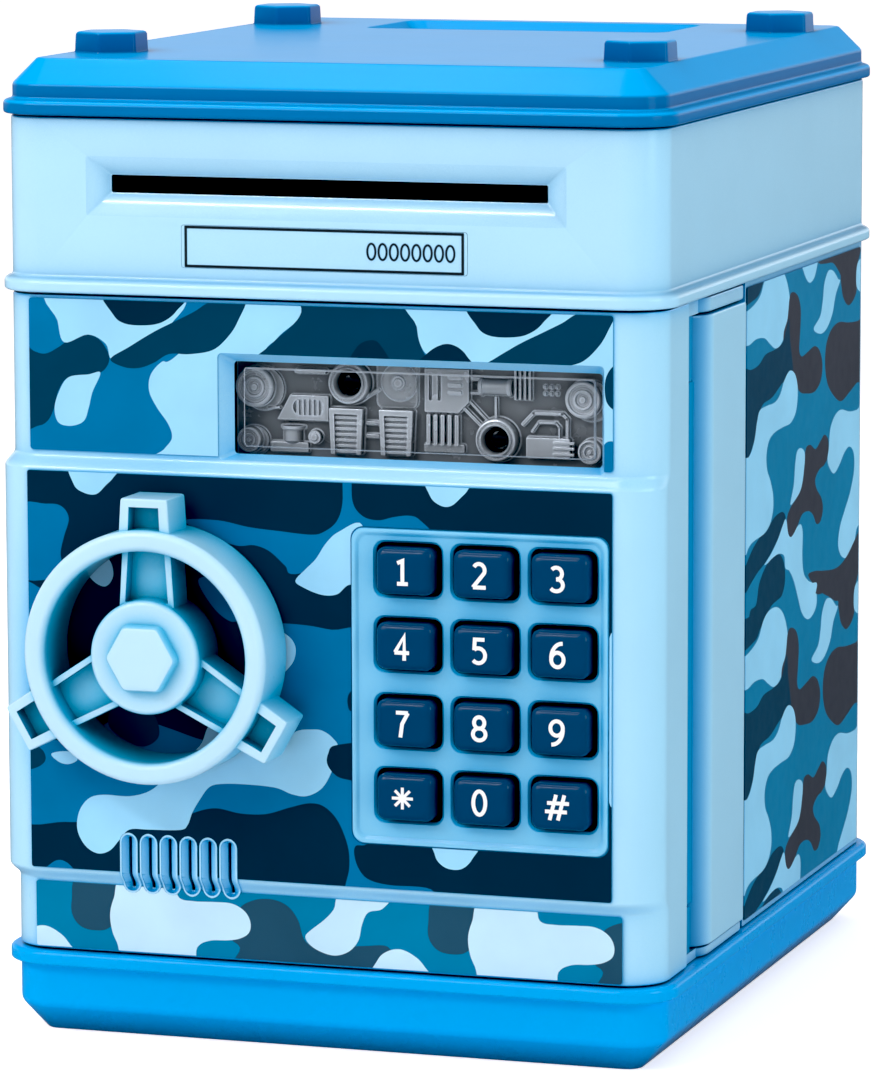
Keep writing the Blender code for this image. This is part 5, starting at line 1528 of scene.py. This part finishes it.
def make_lights():
    """The two round lenses, dark when unlit."""
    for (x, z), name, paint in zip(LIGHT_PLACES, ("led_red", "led_green"),
                                   ("red_lens", "green_lens")):
        low, high = mm_box(name)
        radius, length = (high.x - low.x) / 2 - 0.1, high.y - RELIEF_HIGH.y + 2.5
        profile = [(0, length)]
        for step in range(1, 9):
            angle = math.pi / 2 * (1 - step / 8)
            profile.append((radius * math.cos(angle), length - 0.9 + 0.9 * math.sin(angle)))
        profile += [(radius, 0), (0, 0)]
        lens = lathe(f"{name}_lens", profile, (x, high.y, z), (0, -1, 0), 48)
        finish(lens, PAINT[paint], "door", paint, name)


def make_window_cover():
    """The clear cover over the relief: a thin flange and a raised front with bevelled edges."""
    low, high = LENS_LOW, LENS_HIGH
    cover = slab("window_cover", [plan(low.x, high.x, low.z, high.z, 1.5)], "Y", high.y - 0.25,
                 high.y)
    path = ((high.y - 0.1, 0.0), (low.y + 0.35, 0.0), (low.y, 0.3))
    join(cover, front_loft("raised_front", [(y, inset_plan(COVER_FRONT, inset, 0.6, 5))
                                            for y, inset in path]))
    finish(cover, PAINT["clear"], "door", "clear_plastic", "window_lens")


def make_number_label():
    """The serial label: a pale ground, a thin dark frame and generic zeros."""
    low, high = mm_box("number_label")
    ground = slab("label_ground", [plan(low.x, high.x, low.z, high.z, 0.5)], "Y", FRONT - 0.02,
                  high.y)
    finish(ground, PAINT["pale"], "bank", "white_plastic", "number_label")
    line, left, right = 0.48, low.x + 0.6, high.x - 0.6
    ring = [plan(left, right, low.z + 0.08, high.z - 0.08, 0.15, 2),
            plan(left + line, right - line, low.z + line + 0.08, high.z - line - 0.08, 0.1, 2)]
    finish(slab("label_frame", ring, "Y", FRONT - 0.07, FRONT + 0.05), PAINT["dark_ink"], "bank",
           "black_plastic")
    middle = (low.z + high.z) / 2
    for index in range(8):
        x = right - 2.6 - 2.15 * index
        zero = mark("label_digit", digit_strokes("0"), 3.3, 0.36, x, middle, FRONT - 0.02)
        zero.name = f"label_zero_{index + 1}"
        finish(zero, PAINT["dark_ink"], "bank", "black_plastic")


# ---------------------------------------------------------------- carried-over nodes

FINISHES = {
    "pale": ("chamber_floor",),
    "steel": ("battery_cover_screw", "battery_contact_left", "battery_contact_right",
              "hinge_pin_lower", "hinge_pin_upper", "lid_screw_left", "lid_screw_right",
              "drive_shaft", "feed_motor", "cover_screw_left", "cover_screw_right",
              "latch_screw", "solenoid_plunger"),
    "jacket": ("cell_1", "cell_2", "cell_3"),
    "rubber": ("drive_roller", "keypad_membrane"),
    "white": ("drive_gear", "motor_pinion"),
    "board": ("sensor_board", "main_pcb"),
    "black": ("feeder_frame", "speaker", "idler_roller"),
    "grey": ("door_back_cover", "latch_cam", "latch_tongue", "solenoid"),
}


def dress_nodes():
    """The CAD nodes still shown get detailed materials and softened edges."""
    for paint, names in FINISHES.items():
        for name in names:
            node = NODES[name]
            node.data.materials.clear()
            node.data.materials.append(PAINT[paint])
            soften(node, 0.12, 2, 40)


# ---------------------------------------------------------------- room

def add_light(name, spread_size, energy, place, target, colour=(1, 1, 1)):
    """A rectangular lamp aimed at a target; sizes and places in metres."""
    data = bpy.data.lights.new(name, "AREA")
    data.shape = "RECTANGLE"
    data.size, data.size_y = spread_size
    data.energy = energy
    data.color = colour
    light = bpy.data.objects.new(name, data)
    light.location = place
    light.rotation_euler = (Vector(target) - Vector(place)).to_track_quat("-Z", "Y").to_euler()
    bpy.context.scene.collection.objects.link(light)


def seen_by(graph, ray, otherwise, special):
    """One value for a kind of ray and another for the rest."""
    kind = graph.add("LightPath").outputs[ray]
    return graph.add("Mix", {"Factor": kind, "A": otherwise, "B": special}).outputs["Result"]


def make_world():
    """A white studio; reflections see it dim behind the camera and near the ceiling."""
    world = bpy.data.worlds.new("studio")
    world.use_nodes = True
    graph = Graph(world.node_tree)
    sky = world.node_tree.nodes["Background"]
    direction = graph.place.outputs["Generated"]
    wall = graph.add("MapRange", {"Value": graph.part(direction, "Y"), "From Min": -0.2,
                                  "From Max": 0.8, "To Min": 0.25, "To Max": 1.15},
                     interpolation_type="SMOOTHSTEP").outputs["Result"]
    ceiling = graph.spread(graph.between(graph.part(direction, "Z"), 0.26, 0.16), 0.12, 1.0)
    strength = seen_by(graph, "Is Glossy Ray", 0.6, graph.times(wall, ceiling))
    graph.feed(sky, "Color", (0.97, 0.985, 1.0))
    graph.feed(sky, "Strength", seen_by(graph, "Is Camera Ray", strength, 1.3))
    bpy.context.scene.world = world


def make_floor():
    """A pale matt floor that looks white to the camera and dim in reflections."""
    bm = bmesh.new()
    for u, v in ((-4000, -4000), (4000, -4000), (4000, 4000), (-4000, 4000)):
        bm.verts.new((u, v, 0))
    bm.faces.new(bm.verts)
    floor = add_piece("floor", bm)
    made, graph, shader = new_material("floor_white")
    graph.feed(shader, "Base Color", graph.mix(graph.noise(3.0), (0.92, 0.925, 0.93),
                                               (0.94, 0.945, 0.95)))
    graph.feed(shader, "Roughness", 0.7)
    graph.feed(shader, "Specular IOR Level", 0.1)
    graph.feed(shader, "Emission Color", (1, 1, 1))
    graph.feed(shader, "Emission Strength", seen_by(graph, "Is Camera Ray", 0.0, 0.6))
    mirrored = graph.add("Emission", {"Strength": 0.12})
    mix = graph.add("MixShader", {0: graph.add("LightPath").outputs["Is Glossy Ray"],
                                  1: shader.outputs["BSDF"], 2: mirrored.outputs["Emission"]})
    graph.feed(made.node_tree.nodes["Material Output"], "Surface", mix.outputs["Shader"])
    floor.data.materials.append(made)


def make_lamps():
    """A large soft key lamp from the left, a cool fill, and strips that draw the edges."""
    add_light("key", (0.8, 0.8), 5.1, (-0.75, -1.0, 0.8), (0, 0, 0.09))
    add_light("edge", (0.7, 0.05), 3.4, (-0.45, -0.75, 0.75), (0, 0, 0.1))
    add_light("fill", (0.6, 0.9), 7.6, (1.35, -0.3, 0.5), (0, 0, 0.08), (0.60, 0.93, 1.0))
    add_light("top", (0.9, 0.9), 1.8, (0.1, 0.2, 1.2), (0, 0, 0.1))
    add_light("strip", (0.9, 0.12), 2.0, (-0.25, -0.12, 0.95), (0, 0, 0.1))


def set_camera():
    """The camera: a long lens seen from in front, to the right and slightly above."""
    azimuth, elevation, roll = math.radians(18.308), math.radians(8.175), math.radians(-0.141)
    aim, distance = Vector((-3.7, 0.0, 85.53)) * MM, 1.154
    forward = Vector((-math.sin(azimuth) * math.cos(elevation),
                      math.cos(azimuth) * math.cos(elevation), -math.sin(elevation)))
    data = bpy.data.cameras.new("camera")
    data.sensor_fit = "VERTICAL"
    data.sensor_height = 36.0
    data.lens = 196.6
    data.clip_start = 0.05
    camera = bpy.data.objects.new("camera", data)
    turn = forward.to_track_quat("-Z", "Y").to_matrix() @ Matrix.Rotation(roll, 3, "Z")
    camera.matrix_world = Matrix.Translation(aim - forward * distance) @ turn.to_4x4()
    bpy.context.scene.collection.objects.link(camera)
    bpy.context.scene.camera = camera


def set_grading():
    """Plain tones with slightly lifted contrast; white stays neutral."""
    look = bpy.context.scene.view_settings
    look.view_transform = "Standard"
    look.use_curve_mapping = True
    look.curve_mapping.black_level = (0.015, 0.012, 0.010)
    look.curve_mapping.white_level = (1.02, 1.10, 1.10)
    look.curve_mapping.update()


make_base()
make_battery_cover()
make_body()
make_head()
make_lid()
make_number_label()
make_door()
make_upper_film()
make_middle_film()
make_lower_film()
make_side_films()
make_relief()
make_lights()
make_window_cover()
make_keypad()
for key in KEY_NAMES:
    make_key(key)
make_handwheel()
dress_nodes()
make_world()
make_floor()
make_lamps()
set_camera()
set_grading()
